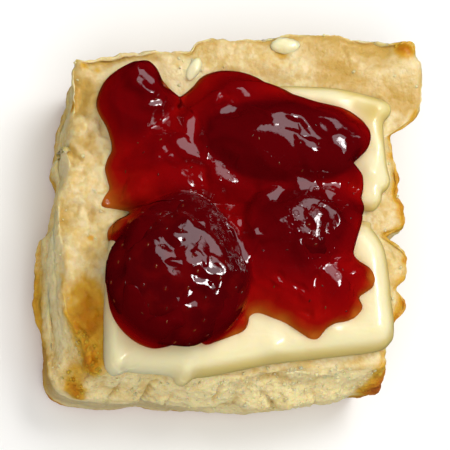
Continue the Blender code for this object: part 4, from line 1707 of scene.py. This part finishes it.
@dataclass
class Dab:
    """A small scrap of butter left on the bread."""

    name: str
    centre: tuple[float, float]
    half: tuple[float, float, float]
    heading: float
    sunk: float = 0.5
    dents: float = 0.12
    dent_size: float = 2.4
    spokes: int = 64
    rows: int = 40

    def build(self, biscuit: Biscuit, material: bpy.types.Material) -> bpy.types.Object:
        """Skins the dab: half a ball, dented, turned and pressed on the bread.

        Args:
            biscuit: what it lies on.
            material: its finish.

        Returns:
            The piece that stands for the node of the same name.
        """
        skin = ball(self.spokes, self.rows)
        rings = skin * self.half
        swollen = 1.0 + self.dents * rough(rings + 5.0 * len(self.name), self.dent_size, 44)
        rings[..., 2] *= np.where(skin[..., 2] < 0.0, self.sunk, 1.0)
        rings = (rings * swollen[..., None]) @ turn(self.heading)
        level = float(biscuit.surface(np.array([(*self.centre, biscuit.top)]))[0]) - 0.2
        rings = rings + (*self.centre, level)
        # Painted shade on the dab's lower side.
        marks = {Mark.SIDE: 0.4 * (1.0 - ramp(skin[..., 2], -0.1, 0.5))}
        piece = make_loft(self.name + "_soft", rings, material, marks)
        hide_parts(self.name)
        return piece


class Seen(Enum):
    """What a lamp lights: matt surfaces, or reflections in wet ones."""

    MATT = "matt"
    GLOSS = "gloss"


@dataclass(frozen=True)
class Lamp:
    """One rectangular studio lamp that shines on the object."""

    name: str
    heading: tuple[float, float, float]
    distance: float
    size: tuple[float, float]
    power: float
    tint: Colour
    seen: Seen

    def hang(self, look_at: tuple[float, float, float]) -> None:
        """Hangs the lamp at its distance along its heading from a point, facing it."""
        light = bpy.data.lights.new(self.name, "AREA")
        light.shape = "RECTANGLE"
        light.size, light.size_y = self.size
        light.energy = self.power
        light.color = self.tint
        lamp = add_object(self.name, light)
        away = Vector(self.heading).normalized()
        lamp.location = Vector(look_at) + away * self.distance
        lamp.rotation_euler = away.to_track_quat("Z", "Y").to_euler()
        lamp.visible_glossy = self.seen is Seen.GLOSS
        lamp.visible_diffuse = self.seen is Seen.MATT


@dataclass
class Studio:
    """The floor, the lights and the camera, set as the photograph was taken."""

    look_at: tuple[float, float, float] = (-0.0006, 0.0, 0.013)
    towards: tuple[float, float, float] = (-0.205, -0.205, 1.0)
    distance: float = 0.7
    pixels: int = 450
    pixel_size: float = 0.184
    sensor: float = 36.0
    floor_half: float = 1.5
    room_tint: Colour = (1.0, 0.99, 0.97)
    room_light: float = 0.52
    lamps: tuple[Lamp, ...] = (
        Lamp("key", (0.46, 0.50, 1.0), 0.8, (0.42, 0.42), 3.3, (1.0, 0.985, 0.96), Seen.MATT),
        Lamp("fill", (-0.12, -0.5, 1.0), 1.2, (0.9, 0.9), 5.2, (1.0, 0.985, 0.96), Seen.MATT),
        Lamp("softbox", (0.40, 0.50, 0.76), 0.6, (0.50, 0.36), 1.4, (0.95, 0.95, 1.0), Seen.GLOSS),
        Lamp("glint", (0.62, 0.16, 0.80), 0.9, (0.22, 0.19), 3.4, (1.0, 1.0, 1.0), Seen.GLOSS))

    def camera(self) -> None:
        """Sets the camera on the photograph's line of sight and scale."""
        target = Vector(self.look_at)
        back = Vector(self.towards).normalized()
        right = (-back).cross(Vector((0.0, 1.0, 0.0))).normalized()
        up = right.cross(-back)
        lens = bpy.data.cameras.new("camera")
        lens.sensor_width = self.sensor
        lens.lens = self.sensor * self.distance / MM / (self.pixels * self.pixel_size)
        lens.clip_start = 0.01
        camera = add_object("camera", lens)
        spot = target + back * self.distance
        camera.matrix_world = Matrix(((right.x, up.x, back.x, spot.x), (right.y, up.y, back.y, spot.y),
                                      (right.z, up.z, back.z, spot.z), (0.0, 0.0, 0.0, 1.0)))
        bpy.context.scene.camera = camera

    def build(self) -> None:
        """Lays the floor, hangs the lamps, dims the room and sets the camera."""
        half = self.floor_half
        corners = [(-half, -half, 0.0), (half, -half, 0.0), (half, half, 0.0), (-half, half, 0.0)]
        mesh = bpy.data.meshes.new("floor")
        mesh.from_pydata(corners, [], [(0, 1, 2, 3)])
        mesh.materials.append(FloorFinish().material())
        floor = add_object("floor", mesh)
        floor.visible_glossy = False
        floor.visible_diffuse = False
        for lamp in self.lamps:
            lamp.hang(self.look_at)
        world = bpy.data.worlds.new("room")
        world.use_nodes = True
        sky = world.node_tree.nodes["Background"]
        sky.inputs["Color"].default_value = (*self.room_tint, 1.0)
        sky.inputs["Strength"].default_value = self.room_light
        world.cycles_visibility.glossy = False
        bpy.context.scene.world = world
        bpy.context.scene.view_settings.view_transform = "Standard"
        self.camera()


FRONT_PAT = Pat(
    "butter_front", Outline((
        (23.3, 0.2), (25.2, -1.3), (26.9, -3.6), (27.8, -6.1), (28.5, -10.8), (28.8, -14.8),
        (29.4, -19.0), (29.4, -21.1), (28.8, -22.2), (27.3, -23.5), (23.8, -24.4), (14.9, -25.7),
        (6.7, -26.9), (0.1, -28.4), (-5.0, -29.5), (-7.7, -29.9), (-8.6, -30.6), (-9.6, -31.3),
        (-10.8, -31.0), (-11.6, -30.0), (-13.2, -29.5), (-17.6, -29.3), (-20.6, -29.2), (-22.1, -29.9),
        (-23.4, -29.4), (-24.3, -27.6), (-24.4, -22.0), (-24.3, -16.0), (-23.4, -5.0), (-21.4, -1.0),
        (-12.0, -0.3), (6.0, 0.0))),
    (2.0, -14.5), thickness=4.8, rounding=4.2, crisp=0.6,
    bumps=each(Spot, (6.1, -25.0, 0.0, 1.8, 0.8), (16.7, -20.8, 0.0, 1.5, 0.4), (24.0, -19.0, 0.0, 3.0, 0.3),
               (-9.9, -29.8, 0.0, 1.7, 0.7), (-22.2, -28.6, 0.0, 1.6, 0.6), (-16.0, -27.4, 0.0, 2.4, 0.3)))
BACK_PAT = Pat(
    "butter_back", Outline((
        (-2.0, 23.6), (7.5, 24.8), (14.1, 25.0), (19.1, 24.9), (23.8, 24.1), (27.8, 23.0), (29.1, 21.6),
        (28.8, 20.2), (27.7, 18.8), (27.7, 16.4), (28.2, 11.1), (28.8, 8.0), (28.4, 6.5), (27.3, 5.4),
        (27.0, 3.8), (25.6, 2.2), (23.0, 2.2), (16.0, 1.2), (-12.0, 1.2), (-20.6, 1.2), (-21.6, 2.6),
        (-20.4, 6.0), (-17.0, 11.5), (-10.0, 18.5))),
    (6.0, 12.5), thickness=3.0, rounding=2.6,
    bumps=each(Spot, (22.0, 21.6, 0.0, 2.4, -0.5), (26.4, 21.2, 0.0, 1.6, 0.5), (24.4, 9.0, 0.0, 1.6, 0.8),
               (27.0, 14.0, 0.0, 1.2, 0.4), (26.2, 4.4, 0.0, 1.6, 0.5)),
    # Painted shade on the lobes at the back right, partly thin butter over the bread.
    thins=each(Spot, (21.0, 21.8, 0.0, 2.2, 0.6), (25.0, 20.2, 0.0, 2.6, 0.9), (26.0, 16.5, 0.0, 1.8, 0.4)))
FROTH = each(
    Spot, (9.5, -2.5, 0.0, 6.5, 1.0), (14.5, -9.5, 0.0, 4.5, 0.8), (-4.4, 6.0, 0.0, 3.5, 0.8),
    (-16.5, -5.0, 0.0, 3.0, 0.8), (-2.5, -14.0, 0.0, 3.8, 1.0), (3.0, 8.0, 0.0, 3.5, 0.6))
DABS = (Dab("butter_dab_back", (9.4, 32.9), (2.7, 1.6, 1.5), 4.0),
        Dab("butter_dab_left", (-8.0, 27.4), (2.3, 1.2, 1.0), 66.0))
BERRIES = (
    Berry("strawberry_front", (-12.4, -11.8, 28.4), (13.8, 13.1, 8.5), 2.6, 80.0, 0.28, -0.4, 6.0, 1.4, 3.4,
          wider=1.04, fall=0.5, ridge=0.8, ridge_heading=40.0, ridge_at=1.0, ridge_width=0.9, dark=0.5,
          sheens=each(Sheen, (-15.9, -11.2, 4.8, 2.0, -52.0), (-9.2, -6.9, 5.2, 1.9, -45.0),
                      (-8.2, -11.7, 2.8, 1.3, -35.0, BRIGHT_SLOPE),
                      (-9.0, -15.7, 2.9, 1.1, -20.0, BRIGHT_SLOPE))),
    Berry("strawberry_back", (6.9, 12.3, 26.8), (14.3, 7.4, 6.6), 3.0, -3.0, 0.14, 0.5, 9.0, 2.4, 3.6,
          wider=1.22, blunt=2.3, ridge=0.25, ridge_heading=140.0, ridge_at=0.84, dark=0.35),
    Berry("strawberry_middle", (8.8, -4.0, 28.6), (9.3, 7.0, 5.4), 3.0, 200.0, 0.22, 0.5, 9.0, 2.6, 3.5,
          dark=0.1),
    Berry("strawberry_left", (-18.7, 21.0, 23.4), (5.3, 4.2, 4.4), 2.6, 62.0, 0.12, 1.2, 9.0, 2.0, 3.6,
          wider=1.65, blunt=2.6, dark=-0.10, tilt=0.34))
JAM_LINE = Outline((
    (-26.0, 20.0), (-25.4, 22.5), (-24.1, 24.8), (-21.9, 26.6), (-19.4, 27.7), (-17.4, 28.0),
    (-16.0, 27.2), (-14.3, 25.6), (-12.5, 23.7), (-11.0, 21.9), (-8.3, 23.9), (-6.8, 25.7), (-5.0, 26.8),
    (-2.7, 27.4), (0.3, 27.4), (2.9, 26.8), (5.6, 25.6), (8.0, 24.2), (11.4, 22.4), (16.1, 21.4),
    (19.9, 20.7), (22.3, 19.4), (23.8, 17.6), (24.4, 15.6), (23.8, 13.1), (22.1, 11.2), (20.7, 9.7),
    (22.5, 7.8), (23.1, 5.6), (22.8, 3.7), (23.6, 2.0), (22.9, 0.1), (22.0, -2.2), (21.0, -5.2),
    (20.8, -7.2), (22.3, -8.3), (24.0, -9.4), (24.8, -11.1), (24.4, -12.8), (23.0, -13.9), (21.9, -14.9),
    (22.5, -16.6), (21.4, -18.3), (19.5, -19.3), (17.3, -19.8), (15.6, -20.9), (14.2, -22.6),
    (12.6, -22.7), (10.7, -21.6), (8.3, -20.1), (5.8, -19.1), (3.2, -18.3), (1.7, -18.9), (1.3, -20.4),
    (0.3, -21.8), (-2.4, -23.0), (-4.7, -23.9), (-6.6, -24.5), (-8.6, -23.5), (-11.5, -24.3),
    (-13.7, -25.1), (-16.3, -25.5), (-19.0, -24.6), (-21.2, -23.0), (-22.9, -21.0), (-23.8, -18.6),
    (-24.1, -15.2), (-24.1, -11.4), (-23.8, -8.6), (-22.9, -6.4), (-23.7, -5.0), (-23.7, -3.4),
    (-22.8, -2.1), (-21.2, -1.0), (-19.8, 0.2), (-22.0, 0.6), (-24.8, 1.1), (-24.4, 2.8), (-23.5, 4.4),
    (-23.9, 6.2), (-24.3, 8.1), (-23.8, 10.0), (-23.1, 11.6), (-23.4, 13.8), (-24.3, 16.2), (-25.5, 18.1)))


# How much of the painted red glow butter has beside the jam, and how far it spreads, in millimetres.
JAM_GLOW_SHARE = 0.6
JAM_GLOW_REACH = 0.7


def frothy(points: Array) -> Array:
    """How full of small bubbles the syrup is at each point, from 0 to about 1."""
    return np.clip(spotted(flat(points), FROTH), 0.0, 1.0)


def jam_glowing(points: Array) -> Array:
    """Painted red glow from the jam on butter at each point: less by exp(-distance / reach) beside it."""
    return JAM_GLOW_SHARE * np.exp(-np.maximum(-JAM_LINE.depth(points), 0.0) / JAM_GLOW_REACH)


def main() -> None:
    """Builds the biscuit, the butter, the jam, the fruit and the studio."""
    logging.basicConfig(level=logging.INFO, format="%(name)s %(message)s")
    bread, butter, jelly, fruit = (finish.material() for finish in
                                   (BreadFinish(), ButterFinish(), JamFinish(), BerryFinish()))
    biscuit = Biscuit((FRONT_PAT.outline, BACK_PAT.outline, JAM_LINE))
    biscuit.build(bread)
    for pat in (FRONT_PAT, BACK_PAT):
        pat.build(biscuit, butter)
    for dab in DABS:
        dab.build(biscuit, butter)
    jam = Jam(biscuit, (FRONT_PAT, BACK_PAT), BERRIES, JAM_LINE)
    jam.build(jelly)
    for berry in BERRIES:
        berry.build(fruit)
    sown = [berry.seeds(jam) for berry in BERRIES] + [jam.seeds()]
    seeds = make_scatter("strawberry_seeds", *(np.concatenate(part) for part in zip(*sown)),
                         SeedFinish().material())
    Studio().build()


if __name__ == "__main__":
    main()
